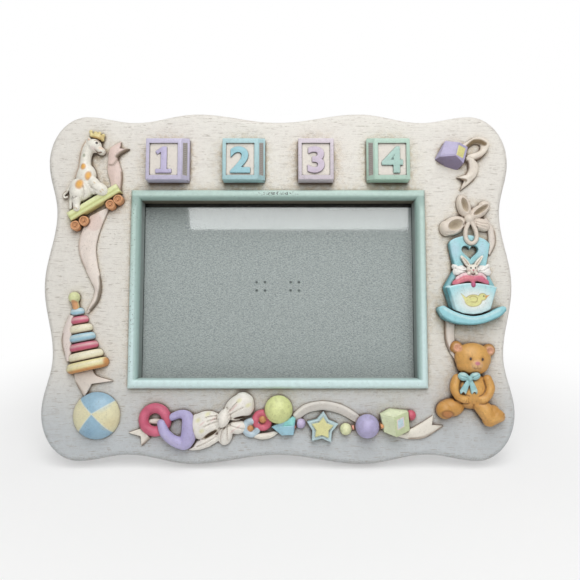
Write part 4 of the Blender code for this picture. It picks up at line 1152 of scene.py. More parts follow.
@dataclass
class WindowMoulding:
    """The aqua half-round round the window, mitred at the corners."""

    opening: Span = (146.0, 94.4)
    bead: float = 5.3
    rise: float = 4.4
    foot: float = 1.0
    sleeve: float = 2.0
    depth: float = 7.0

    def profile(self) -> list[Span]:
        """(outwards, height) points from the sleeve's inner foot, round the bead, and back."""
        points = [(0.0, -self.depth), (0.0, self.foot * 0.4)]
        for k in range(1, 24):
            turn = math.pi * k / 24
            out = self.bead / 2 * (1 - math.cos(turn))
            points.append((out, self.foot + (self.rise - self.foot) * math.sin(turn) ** 0.85))
        return points + [(self.bead, -0.1), (self.sleeve, -0.1), (self.sleeve, -self.depth)]

    def build(self, shop: Workshop) -> None:
        """Makes the moulding from one ring of its profile at each corner."""
        form = bmesh.new()
        rings = []
        for right, up in ((1, 1), (-1, 1), (-1, -1), (1, -1)):
            ring = [form.verts.new((right * (self.opening[0] / 2 + out),
                                    up * (self.opening[1] / 2 + out), h))
                    for out, h in self.profile()]
            rings.append([form.edges.new((a, b)) for a, b in zip(ring, ring[1:] + ring[:1])])
        for k in range(4):
            bmesh.ops.bridge_loops(form, edges=rings[k] + rings[(k + 1) % 4])
        shop.piece("moulding", mesh_of(form), MOULDING, "window_moulding",
                   crisp_deg=40)


@dataclass
class PanelAndGlass:
    """The glass, the cloth-covered panel behind it and the rivets that show in the cloth."""

    spots: tuple[Span, ...] = ((-9.5, 2.0), (9.0, 2.0))
    square: float = 4.5
    cloth_in: float = -9.6
    washer: float = 0.95
    head: float = 0.42

    def build(self, shop: Workshop) -> None:
        """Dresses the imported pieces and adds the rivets."""
        shop.dress("glass_pane", GLASS)
        shop.dress("back_panel", LINEN)
        form = bmesh.new()
        places = [(u + right * self.square / 2, v + up * self.square / 2)
                  for u, v in self.spots for right in (-1, 1) for up in (-1, 1)]
        for u, v in places:
            rivet = revolved([(0.0, 0.3), (self.head * 0.6, 0.26), (self.head, 0.1),
                              (self.washer, 0.12), (self.washer, -0.2), (0.0, -0.2)], 20)
            made = mesh_of(rivet, Matrix.Translation((u, v, self.cloth_in)))
            form.from_mesh(made)
            bpy.data.meshes.remove(made)
        coat = shop.painted(
            "cloth_rivets", mesh_of(form), (190, 200, 198), finish=RIVET_PAINT
        )
        for spot in places:
            coat.dab(spot, (self.head * 1.15,) * 2, (62, 66, 66))


@dataclass
class Fixings:
    """The metal on the back: buttons, screws, hinge, and the rivets of its leaves."""

    metal: tuple[str, ...] = (
        "turn_button_1", "turn_button_2", "button_screw_1", "button_screw_2", "hinge_fixed_leaf",
        "hinge_leg_leaf", "hinge_pin"
    )

    def build(self, shop: Workshop) -> None:
        """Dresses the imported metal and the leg."""
        for node in self.metal:
            shop.dress(node, ZINC)
        shop.dress("easel_leg", BOARD)


# The reliefs


class Numeral(Enum):
    """The figures on the toy blocks."""

    ONE = "1"
    TWO = "2"
    THREE = "3"
    FOUR = "4"


@dataclass
class ToyBlock:
    """A toy block with a sunk panel, a figure on it and a waffled side."""

    number: int
    centre_u: float
    side: int
    paint: Colour
    numeral: Numeral
    figure: Colour
    slot: str
    centre_v: float = 68.0
    width: float = 18.8
    height: float = 22.2
    depth: float = 7.2
    panel: Span = (15, 17.4)
    sunk: float = 1.0
    side_width: float = 3.6
    side_drop: float = 4.0
    top_rise: float = 1.3
    ground: Colour = (226, 219, 209)
    stud: Colour = (204, 196, 190)
    groove: Colour = (134, 128, 122)
    figure_height: float = 14.2

    def build(self, shop: Workshop) -> None:
        """Makes the block, its side and its figure."""
        self._block(shop)
        if self.side:
            self._waffle(shop)
        self._figure(shop)

    def _block(self, shop: Workshop) -> None:
        """The block with its sunk panel."""
        half_w, half_h = self.width / 2, self.height / 2
        form = bmesh.new()
        bmesh.ops.create_cube(form, size=2)
        for vert in form.verts:
            front = vert.co.z > 0
            wide = half_w + (0 if front or self.side * vert.co.x <= 0 else self.side_width)
            vert.co.x = math.copysign(wide, vert.co.x)
            vert.co.y = math.copysign(half_h, vert.co.y)
            vert.co.y += self.top_rise if vert.co.y > 0 and not front else 0.0
            vert.co.z = self.depth if front else self.depth - self.side_drop
        foot = [face for face in form.faces if face.calc_center_median().z < self.depth - 3.9]
        lowered = bmesh.ops.extrude_face_region(form, geom=foot)["geom"]
        for vert in verts_in(lowered):
            vert.co.z = -0.1
        bmesh.ops.recalc_face_normals(form, faces=form.faces)
        soften(form, [e for e in form.edges if max(v.co.z for v in e.verts) > 1], 0.4, 3)
        face = max(form.faces, key=lambda f: f.calc_center_median().z * 100 + f.calc_area())
        bmesh.ops.inset_individual(form, faces=[face], thickness=1, use_even_offset=True)
        for vert in face.verts:
            vert.co.x = math.copysign(self.panel[0] / 2, vert.co.x)
            vert.co.y = math.copysign(self.panel[1] / 2, vert.co.y)
        floor = bmesh.ops.extrude_discrete_faces(form, faces=[face])["faces"][0]
        bmesh.ops.translate(form, verts=floor.verts, vec=(0, 0, -self.sunk))
        at = (self.centre_u, self.centre_v)
        coat = shop.painted(
            f"block_{self.number}", mesh_of(form, Matrix.Translation((*at, 0))), self.paint,
            f"toy_block_{self.number}", BLOCK_PAINT, at, crisp_deg=30
        )
        # Painted highlight: a lighter band along the block's top edge.
        light = lighter(self.paint, 22, 245)
        coat.blend((coat.spots[:, 1] - half_h + 0.6) * 2, light)
        sunk = np.abs(coat.height - (self.depth - self.sunk)) < 0.05
        sunk &= (np.abs(coat.spots[:, 0]) < self.panel[0] / 2 + 0.1)
        coat.blend(sunk.astype(float), self.ground)

    def _waffle(self, shop: Workshop) -> None:
        """The pressed grid on the slanting side."""
        cells = (9, 37)
        form = bmesh.new()
        bmesh.ops.create_grid(form, x_segments=cells[0], y_segments=cells[1], size=1)
        half_w, half_h = self.width / 2, self.height / 2
        for vert in form.verts:
            i = round((vert.co.x + 1) / 2 * cells[0])
            j = round((vert.co.y + 1) / 2 * cells[1])
            across = 0.14 + 0.7 * i / cells[0]
            up = j / cells[1] * 2 - 1
            top = half_h - 2.0 + self.top_rise * across
            vert.co.x = self.side * (half_w + self.side_width * across)
            vert.co.y = up * (half_h - 2.4) if up < 0 else up * top
            raised = 0.22 if i % 2 and j % 2 else 0.02
            edge = i in (0, cells[0]) or j in (0, cells[1])
            vert.co.z = self.depth - self.side_drop * across + (-0.2 if edge else raised)
        at = (self.centre_u, self.centre_v)
        mesh = mesh_of(form, Matrix.Translation((*at, 0)))
        # The sunk grooves keep a darker colour than the raised studs: painted shade.
        coat = Coat(mesh, self.groove, at)
        slope = self.depth - self.side_drop * (np.abs(coat.spots[:, 0]) - half_w) / self.side_width
        coat.blend((coat.height - slope) / 0.18, self.stud)
        shop.piece(f"block_waffle_{self.number}", mesh, BLOCK_PAINT, crisp_deg=20)

    def _figure(self, shop: Workshop) -> None:
        """The raised figure in the panel."""
        if self.numeral is Numeral.ONE:
            form = prism([(-4.2, -7.1), (4.2, -7.1), (4.2, -5), (1.7, -5), (1.7, 7.1),
                          (-0.6, 7.1), (-4.4, 4.4), (-3.4, 2.9), (-1.5, 4), (-1.5, -5),
                          (-4.2, -5)], 0, 0.9)
            front = front_of(form)
            soften(form, front.edges, 0.25, 2)
        else:
            curve = bpy.data.curves.new("figure", "FONT")
            curve.body, curve.size, curve.extrude = self.numeral.value, 20.0, 0.45
            curve.bevel_depth, curve.bevel_resolution, curve.offset = 0.2, 2, 0.45
            form = bmesh.new()
            form.from_mesh(settled(placed("figure", curve)))
            spots = np.array([v.co for v in form.verts])
            low, high = spots.min(0), spots.max(0)
            scale = self.figure_height / (high[1] - low[1])
            bmesh.ops.translate(
                form, verts=form.verts, vec=-Vector((*((low + high) / 2)[:2], low[2]))
            )
            bmesh.ops.scale(form, verts=form.verts, vec=(scale * 1.14, scale, 0.8))
        place = Matrix.Translation((self.centre_u, self.centre_v - 0.3, self.depth - self.sunk))
        shop.painted(f"block_figure_{self.number}", mesh_of(form, place), self.figure,
                     finish=BLOCK_PAINT, crisp_deg=35)


@dataclass
class RibbonStretch:
    """A stretch of ribbon lying on the face, from pairs of edge points (u, v and maybe h)."""

    name: str
    node: Optional[str]
    edges: tuple[tuple[Point, Point], ...]
    crest: float = 2.0
    edge: float = 1.3
    forks: Span = (0, 0)
    paint: Colour = RIBBON
    marks: tuple[tuple[tuple[Point, ...], float, Colour], ...] = ()
    offset: Span = (0, 0)
    slot: str = "ribbon_cream"

    def _lifted(self, points: Sequence[Point]) -> np.ndarray:
        """A smooth edge, at the usual height where a point gives none."""
        return smooth_path([(*p[:2], p[2] if len(p) > 2 else self.edge) for p in points], 10)

    def build(self, shop: Workshop) -> None:
        """Makes the stretch: a slightly cushioned band with crisp edges."""
        lefts = self._lifted([pair[0] for pair in self.edges])
        rights = self._lifted([pair[1] for pair in self.edges])
        across, length, reach = 8, len(lefts), 10
        form = bmesh.new()
        rows = []
        for i, (left, right) in enumerate(zip(lefts, rights)):
            row = []
            for j in range(across + 1):
                t = 2 * j / across - 1
                spot = left + (right - left) * j / across
                for fork, end, step in ((self.forks[0], 0, 1), (self.forks[1], length - 1, -1)):
                    if fork and abs(i - end) < reach:
                        inner, outer = end + step * reach, end
                        along = (lefts[inner] + rights[inner] - lefts[outer] - rights[outer])[:2]
                        along = along / max(np.hypot(*along), 1e-6)
                        spot[:2] += along * fork * (1 - abs(t)) * (1 - abs(i - end) / reach)
                puff = (self.crest - self.edge) * (1 - t * t)
                ripple = 0.14 * math.sin(3.3 * t + 0.23 * i) * (1 - t * t)
                row.append(form.verts.new((spot[0], spot[1], spot[2] + puff + ripple)))
            rows.append(row)
        top = [form.faces.new((rows[i][j], rows[i][j + 1], rows[i + 1][j + 1], rows[i + 1][j]))
               for i in range(length - 1) for j in range(across)]
        lowered = bmesh.ops.extrude_face_region(form, geom=top)["geom"]
        for vert in verts_in(lowered):
            vert.co.z = BED
        bmesh.ops.recalc_face_normals(form, faces=form.faces)
        form.normal_update()
        corners = [e for e in form.edges if len(e.link_faces) == 2
                   and min(v.co.z for v in e.verts) > 0.2 and e.calc_face_angle(0) > 0.9]
        soften(form, corners, 0.25, 2)
        place = Matrix.Translation((*self.offset, 0))
        coat = shop.painted(self.name, mesh_of(form, place), self.paint, self.node,
                            SOFT_PAINT, self.offset, crisp_deg=50)
        for points, width, colour in self.marks:
            coat.stroke(points, width, colour, soft=0.7)


@dataclass
class Giraffe:
    """The seated giraffe on its pull-along cart."""

    wheel_radius: float = 2.65
    wheel_rise: float = 4.2
    deck: tuple[float, float, float] = (-98, 45.6, 31.5)
    wheels: tuple[Span, ...] = (
        (-107.3, 33.1), (-102.9, 35.6), (-89, 44.4), (-85, 47.1)
    )
    spot: Colour = (236, 178, 84)
    spot_edge: Colour = (216, 160, 92)
    mane: Colour = (186, 156, 132)

    def build(self, shop: Workshop) -> None:
        """Makes giraffe, crown and cart."""
        self._figure(shop)
        self._crown(shop)
        self._cart(shop)

    def _figure(self, shop: Workshop) -> None:
        """The animal, painted with spots, mane and face."""
        clay = Clay()
        clay.lump((-105, 52.8, 2), (6.6, 6.5, 4.4), -15)
        clay.lump((-101.4, 54.6, 2), (4.8, 4.6, 3.8), 20)
        clay.lump((-102.6, 60, 1.9), (5.2, 6.4, 4), -8)
        clay.rope([(-102.6, 61.5, 1.9, 3.9), (-103.2, 66, 1.9, 3.1), (-102.9, 71, 2, 2.9),
                   (-101.6, 75, 2.1, 3.1)])
        clay.lump((-98.8, 76.5, 2.4), (4.1, 3.7, 3.5), -12)
        clay.lump((-95.2, 73.8, 2.3), (2.8, 2.1, 2.8), -32)
        clay.lump((-101.4, 79.8, 1.8), (1.1, 1.9, 1.3), 38)
        clay.rope([(-100, 58, 3, 2.7), (-97.4, 55.4, 3.8, 2.9)])
        clay.lump((-94.7, 52.6, 3.7), (5.2, 3.4, 3.2), -33)
        clay.lump((-98.2, 52, 3), (3.2, 2.3, 2.4), -25)
        clay.lump((-106.6, 50.4, 3), (4.3, 4.9, 3.9), 10)
        clay.rope([(-106.8, 47, 3.9, 2.5), (-106.8, 44.2, 3.8, 2.1), (-106.4, 42.2, 4, 2.1)])
        clay.rope([(-109.4, 48, 1.8, 2), (-110.1, 44.6, 2.2, 1.4), (-110, 42.8, 2.2, 1.3)])
        clay.rope([(-110.6, 54.6, 1.2, 1), (-112.2, 52.8, 1.3, 0.8), (-113.6, 51.2, 1.3, 0.75),
                   (-114.7, 49.9, 1.3, 0.7), (-114, 48.4, 1.3, 0.65), (-112.8, 48.8, 1.4, 0.65)])
        clay.rope([(-103.2, 78.8, 1.6, 1), (-105, 75, 1.8, 1), (-105.8, 70, 1.8, 1),
                   (-106.4, 65, 1.8, 1), (-108, 59.8, 1.6, 1)])
        for k in range(9):
            v = 77.8 - 2.1 * k
            clay.score([(-107.6, v - 0.6), (-105, v + 0.4)], 0.25, 0.3)
        clay.score([(-100.6, 55.2), (-98.4, 52.9), (-95, 50.6)], 0.35, 0.5)
        clay.score([(-103, 53.6), (-102.6, 50), (-104.2, 46.4)], 0.45, 0.7)
        clay.score([(-109, 49.4), (-108.9, 46), (-108.7, 42.8)], 0.35, 0.6)
        clay.score([(-97.6, 73.8), (-96, 72.4), (-94, 72.4)], 0.3, 0.5)
        coat = shop.painted("giraffe_cast", clay.cast(), (240, 236, 224), "giraffe")
        for u, v, r, s, turn in ((-104.9, 54.7, 1.9, 2.4, -10), (-100.6, 59.4, 1.3, 2.2, -12),
                                 (-103.5, 64.5, 1.2, 1.5, 0)):
            coat.dab((u, v), (r + 0.3, s + 0.3), self.spot_edge, turn, 0.4, 0.85)
            coat.dab((u + 0.1, v + 0.2), (r * 0.7, s * 0.7), self.spot, turn, 0.7)
        coat.dab((-103.3, 70.7), (0.7, 0.9), (176, 180, 158), 0, 0.7, 0.9)
        coat.stroke([(-103.8, 79), (-105.6, 75), (-106.4, 70), (-107, 65), (-108.7, 59.6)],
                    1.3, self.mane, 0.7, 0.85)
        coat.stroke([(-113.2, 52), (-115.2, 50.2), (-114.6, 47.8), (-112.4, 48)], 0.6,
                    (132, 104, 66), 0.5, 0.9)
        coat.dab((-96.6, 77.3), (0.6, 0.75), INK, soft=0.4)
        coat.stroke([(-97.8, 78.6), (-96.5, 78.8), (-95.6, 78)], 0.35, (150, 122, 98))
        coat.stroke([(-97.8, 74), (-96.2, 72.4), (-94.2, 72.4)], 0.5, (120, 92, 76))
        coat.dab((-94.4, 74.7), (1.3, 1), (238, 212, 190), soft=0.9, amount=0.8)
        coat.dab((-98.4, 74.4), (1.4, 1.1), (236, 220, 214), soft=1.2, amount=0.7)
        coat.dab((-101.4, 79.8), (0.5, 1), (222, 188, 164), 38, soft=0.7)
        for u, v in ((-92.4, 51.6), (-93.4, 50.6), (-96.8, 55.4), (-106.2, 41.8), (-107.4, 42.2)):
            coat.dab((u, v), (0.7, 0.35), (206, 180, 134), -40, 0.9, 0.7)
        coat.stroke([(-108.6, 48), (-107.6, 47.2), (-106.2, 48)], 0.5, (118, 104, 92), 0.5, 0.7)

    def _crown(self, shop: Workshop) -> None:
        """The gold tuft of three points."""
        clay = Clay()
        clay.lump((-97.4, 81.7, 1.6), (3.2, 1.9, 1.8), -18)
        for u, v, lean in (
            (-100.4, 83.7, -0.5), (-98.4, 83, 0), (-96.4, 82.8, 0.2), (-94.6, 81.6, 0.4)
        ):
            clay.rope([(u, v - 1.4, 1.8, 1.1), (u + lean * 0.5, v, 1.8, 0.9),
                       (u + lean, v + 0.8, 1.8, 1.05)])
        coat = shop.painted(
            "giraffe_crown", clay.cast(0.18, 2), (232, 216, 156), "giraffe_tuft"
        )
        coat.dab((-97.6, 80.6), (2.8, 0.7), (196, 160, 96), -18, 0.9)
        coat.dab((-94.8, 81), (1.2, 1.6), (206, 176, 112), 0, 0.9, 0.7)

    def _cart(self, shop: Workshop) -> None:
        """The tilted cart and its four wheels."""
        clay = Clay()
        u, v, turn = self.deck
        clay.slab([(-15.2, -3), (15.2, -3), (15.2, 2.4), (-15.2, 2.4)], 4.6, 1.1, turn, (u, v))
        coat = shop.painted("cart_deck", clay.cast(), (222, 228, 166), "pull_cart")
        run = Vector((math.cos(math.radians(turn)), math.sin(math.radians(turn))))
        rise = Vector((-run.y, run.x))
        # A painted highlight along the deck's top, a dark line, and painted shade along its lower
        # edge.
        for up, width, colour in (
            (1.2, 1.8, (232, 236, 184)), (-0.6, 0.4, (190, 190, 116)), (-2.9, 0.8, (190, 168, 102))
        ):
            ends = [Vector((u, v)) + run * k + rise * up for k in (-14.6, 0, 14.6)]
            coat.stroke([tuple(end) for end in ends], width, colour, 1.2)
        r, top = self.wheel_radius, self.wheel_rise
        profile = [
            (0, top - 0.1), (0.5, top - 0.1), (0.8, top - 0.6), (1.5, top - 0.6), (1.85, top),
            (r - 0.5, top + 0.05), (r - 0.1, top - 0.4), (r, top - 1), (r, -0.1), (0, -0.1)
        ]
        for number, (u, v) in enumerate(self.wheels, 1):
            mesh = mesh_of(revolved(profile, 40), Matrix.Translation((u, v, 0)))
            coat = shop.painted(
                f"cart_wheel_{number}", mesh, (206, 144, 98), crisp_deg=45
            )
            coat.above(top - 0.7, (226, 168, 122), 0.5)
            coat.dab((u, v), (0.7, 0.7), (216, 156, 108))


@dataclass
class StackingToy:
    """The ring stacker: knob, post, six rings and a base, leaning to the right."""

    relief: float = 0.62
    rows: tuple[tuple[str, str, Colour, float, float, float, float, float], ...] = (
        ("stack_base", "apricot", (236, 226, 170), -99.5, -40.6, 12.5, 22.6, 5.2),
        ("stack_ring_6", "butter_yellow", (240, 232, 200), -100.6, -35.6, 12, 18.6, 4.7),
        ("stack_ring_5", "rose_pink", ROSE, -101.8, -30.8, 11, 15.4, 4.5),
        ("stack_ring_4", "powder_blue", POWDER, -102.7, -26.1, 10.5, 14, 4.5),
        ("stack_ring_3", "butter_yellow", (238, 230, 200), -103.6, -21.5, 10, 12.4, 4.5),
        ("stack_ring_2", "rose_pink", ROSE, -104.6, -17, 9, 10, 4.3),
        ("stack_ring_1", "powder_blue", POWDER, -105.8, -12.6, 8, 7.6, 4.1)
    )

    def build(self, shop: Workshop) -> None:
        """Makes the toy."""
        for node, slot, paint, u, v, turn, width, tall in self.rows:
            rim = tall / 2
            half = width / 2 - rim
            curve = [(half + rim * math.sin(a), rim * math.cos(a))
                     for a in (math.pi * k / 18 for k in range(19))]
            form = revolved([(0, rim), *curve, (0, -rim)], 56)
            place = Matrix.Translation((u, v, 0)) @ spun(turn)
            flat = Matrix.Diagonal((1, 1, self.relief, 1))
            place = place @ flat @ Matrix.Rotation(math.pi / 2, 4, "X")
            bmesh.ops.transform(form, matrix=place, verts=form.verts)
            bmesh.ops.remove_doubles(form, verts=form.verts, dist=WELD)
            bedded(form)
            coat = shop.painted(f"{node}_painted", mesh_of(form), paint, node, crisp_deg=60)
            lean = math.radians(turn)
            run = Vector((math.cos(lean), math.sin(lean))) * width / 2
            drop = Vector((math.sin(lean), -math.cos(lean))) * tall / 2
            # Painted shade along each ring's lower edge and a painted highlight above its middle.
            for share, colour, wide, amount in (
                (0.9, (150, 108, 76), 1, 0.6), (-0.35, (248, 244, 232), 1.3, 0.4)
            ):
                line = [Vector((u, v)) + drop * share + run * k for k in (-0.95, 0, 0.95)]
                coat.stroke([tuple(p) for p in line], wide, colour, 1.2, amount)
            if node == "stack_base":
                line = [Vector((u, v)) + drop * 0.75 + run * k for k in (-0.9, 0, 0.98)]
                coat.stroke([tuple(p) for p in line], 1.8, (208, 146, 84), 1.2)
                coat.dab((u + run.x * 0.95, v + run.y * 0.95), (1.5, 2.6), (206, 146, 88), 12, 0.7)
        clay = Clay()
        clay.rope([(-106.4, -10.4, 0.6, 1.9), (-106.9, -7.6, 1.2, 1.9)])
        clay.lump((-107.2, -5, 1.6), (3, 3, 3.4))
        coat = shop.painted(
            "stack_knob", clay.cast(0.18), (222, 226, 172), "stack_post"
        )
        coat.stroke([(-106.4, -11), (-106.8, -8.2)], 3.4, (222, 166, 118), 0.6)


@dataclass
class BeachBall:
    """The half-sunk ball with four painted sectors and pressed seams."""

    centre: Span = (-94.2, -66.5)
    radius: float = 12.3
    rise: float = 7.2
    hub: Span = (-94.9, -65)
    seams: tuple[float, ...] = (136, 31, -46, -129)

    def build(self, shop: Workshop) -> None:
        """Makes the ball."""
        clay = Clay()
        clay.lump((*self.centre, 0), (self.radius, self.radius, self.rise))
        for angle in self.seams:
            clay.score(self._spoke(angle, (0, 4, 8, 15)), 0.3, -0.15)
        coat = shop.painted(
            "ball_painted", clay.cast(0.25, 2), (156, 190, 210), "beach_ball"
        )
        cream = (232, 226, 188)
        coat.wedge(self.hub, self.seams[0], self.seams[3], cream)
        coat.wedge(self.hub, self.seams[2], self.seams[1], cream)
        # Lighter dabs above and on the left, darker ones below and on the right: painted highlight
        # and shade.
        for u, v, r, colour in ((-90, -60, 4, (172, 204, 222)), (-97, -75, 3.4, (132, 170, 198)),
                                (-102, -64, 3, (240, 232, 198)), (-86, -70, 3.2, (222, 208, 162))):
            coat.dab((u, v), (r, r * 0.7), colour, 30, 1.2, 0.55)
        for angle in self.seams:
            coat.stroke(self._spoke(angle, (0, 7, 15)), 0.35, (232, 234, 222), 0.5, 0.8)

    def _spoke(self, angle: float, reaches: Point) -> list[Span]:
        """Points at some reaches from the hub, in a direction in degrees."""
        turn = math.radians(angle)
        return [(self.hub[0] + reach * math.cos(turn), self.hub[1] + reach * math.sin(turn))
                for reach in reaches]


@dataclass
class Faceted:
    """A faceted toy: the smallest solid round its corner points, with soft edges."""

    name: str
    node: str
    slot: str
    paint: Colour
    points: tuple[Point, ...]
    offset: Span
    areas: tuple[tuple[tuple[Point, ...], Colour], ...] = ()
    lines: tuple[tuple[Point, ...], ...] = ()

    def build(self, shop: Workshop) -> None:
        """Makes the toy and paints its faces."""
        form = bmesh.new()
        for u, v, h in self.points:
            form.verts.new((u + self.offset[0], v + self.offset[1], h if h else -0.6))
        result = bmesh.ops.convex_hull(form, input=form.verts)
        loose = verts_in(result["geom_interior"])
        bmesh.ops.delete(form, geom=loose, context="VERTS")
        clay = Clay().add(mesh_of(form))
        for line in self.lines:
            clay.score(line, 0.3, 0.4)
        coat = shop.painted(self.name, clay.cast(0.2), self.paint, self.node)
        for outline, colour in self.areas:
            coat.area(outline, colour)


@dataclass
class RattleOnRibbon:
    """The rattle block seen from a corner, on its looped ribbon."""

    block: Faceted = field(default_factory=lambda: Faceted(
        "rattle_cast", "rattle_block", "lilac", (182, 174, 206),
        ((-10.5, 79, 0), (-3.4, 78.2, 0), (1.6, 75.6, 0), (-1.1, 66.2, 0), (-4, 63.6, 0),
         (-9.2, 65.2, 0), (-15.8, 69.6, 0), (-10.5, 79, 3.6), (-3.5, 77.6, 5.4),
         (1.5, 75.5, 3.8), (-6, 70, 6.4), (-14, 70, 5), (-1.1, 66.5, 4.4)),
        (100, 0),
        areas=(
            # Painted shade on the block's lower face; then its yellow painted square.
            (((84, 69.8), (94.2, 70.2), (98.9, 66.4), (96, 63), (90.5, 64.6)), (134, 122, 148)),
            (((96.2, 76.2), (100, 74.6), (98.4, 69), (94.6, 70.6)), (222, 216, 146)),
        ),
        lines=(((96.2, 76.4), (94.4, 70.4)), ((84.6, 70), (94.2, 70.2), (98.7, 66.6)),
               ((96.4, 76.4), (100.2, 74.8))),
    ))
    band: tuple[RibbonStretch, ...] = (
        RibbonStretch("rattle_ribbon_loop", "rattle_ribbon", (
            ((98.2, 77.4), (101.9, 75)), ((102.5, 79.6), (102.8, 76.2)),
            ((105.8, 81.4, 2), (105.2, 78, 1.2)), ((110, 81.2, 2.6), (108.2, 77.9, 1)),
            ((113.2, 78.2, 3), (109.1, 76.4, 1.4)), ((112.4, 74.6, 3), (108.5, 74.4, 2)),
            ((109.6, 70.9, 2.6), (106.1, 72.9, 2.2)), ((105.8, 69, 2.2), (102.5, 71.9, 2.2)),
            ((102, 68.6), (100.6, 70.8)),
        ), paint=(232, 221, 206), marks=(
            # Painted shade inside the loop's top and along its inner edge.
            (((102, 76.4), (105, 78.9), (108.4, 79.1), (110.8, 77.6)), 2.3, (132, 112, 82)),
            (((112.4, 73.4), (109.6, 70.8), (105.8, 69)), 0.8, RIBBON_EDGE_SHADE),
        )),
        RibbonStretch("rattle_ribbon_tail", None, (
            ((99.9, 70.4, 2.6), (104.2, 69.9, 2.6)), ((101.9, 67.5, 2.6), (106.4, 67.5, 2.6)),
            ((102.2, 64.5, 2.2), (107.2, 64.3, 2.4)), ((101.2, 61.8), (106.2, 60.6, 2)),
            ((99.4, 60.6), (103.2, 56.8)), ((95.7, 59.6), (97.5, 52.4)),
        ), forks=(0, 3.6), paint=(234, 224, 210), marks=(
            # Painted shade under the forked end and along the tail's edges.
            (((95.8, 58.8), (100.4, 57.8)), 1.6, (126, 108, 88)),
            (((98, 52.4), (101.8, 55.4), (104.8, 58.4)), 0.8, RIBBON_EDGE_SHADE),
            (((101.4, 68), (101.8, 64.6), (100.6, 61.4)), 1.2, RIBBON_EDGE_SHADE),
        )),
    )

    def build(self, shop: Workshop) -> None:
        """Makes the block and the ribbon."""
        for toy in (*self.band, self.block):
            toy.build(shop)


@dataclass
class CradleBow:
    """The many-looped bow over the cradle."""

    knot: Span = (101.5, 36.5)
    holes: tuple[tuple[Point, Point, float], ...] = (
        ((-7.4, -3, 4.4), (4.2, 2.8, 4), 26), ((-2.3, 7.8, 4.4), (1.7, 4.3, 3.8), 14),
        ((6.2, 5, 4.4), (4.8, 1.5, 3.4), 34)
    )

    def build(self, shop: Workshop) -> None:
        """Makes the bow."""
        clay = Clay(self.knot)
        clay.lump((0, 0, 2.4), (2.7, 2.6, 2.9))
        clay.lump((-8, -3.2, 0.8), (7.2, 4.8, 3.8), 24)
        clay.lump((-12, -4.6, 0.8), (3.6, 4.2, 3.6), 10)
        clay.lump((-2.3, 7, 0.8), (3.6, 6.8, 3.6), 16)
        clay.lump((5.2, 4.1, 0.8), (6.8, 3.3, 3.6), 34)
        clay.lump((8.6, 7.2, 0.8), (3.2, 3, 3.3), 20)
        clay.lump((6.4, -2.6, 0.8), (5.6, 3.4, 3.2), -20)
        clay.rope([
            (-0.6, -2, 3.4, 1.2), (-2.4, -6.4, 3.8, 1.2), (-2.2, -11, 4, 1.2),
            (0.4, -13.2, 4.2, 1.1), (3, -11.2, 4, 1.2), (3, -6.6, 3.8, 1.2), (1.2, -2, 3.4, 1.2)
        ])
        for centre, size, turn in self.holes:
            clay.pocket(centre, size, turn)
        clay.score([(-12.5, -0.8), (-9, 0.9), (-4, 1)], 0.5, 0.5)
        clay.score([(-12, -7.4), (-8, -6.8), (-3, -2.8)], 0.5, 0.5)
        clay.score([(3.4, -1.4), (6.4, -2.4), (9.6, -2.6)], 0.5, 0.6)
        clay.score([(3.2, -2.6), (6, -3.8), (9, -4.6)], 0.4, 0.4)
        coat = shop.painted("cradle_bow_cast", clay.cast(0.2), (226, 214, 200),
                            "cradle_bow", SOFT_PAINT, self.knot)
        # Painted shade in the loops' openings.
        for centre, size, turn in self.holes:
            coat.dab(centre, (size[0] * 0.86, size[1] * 0.86), (200, 188, 166), turn, 0.4, 0.9)
            coat.dab(centre, (size[0] * 0.5, size[1] * 0.45), (170, 154, 130), turn, 0.8, 0.7)


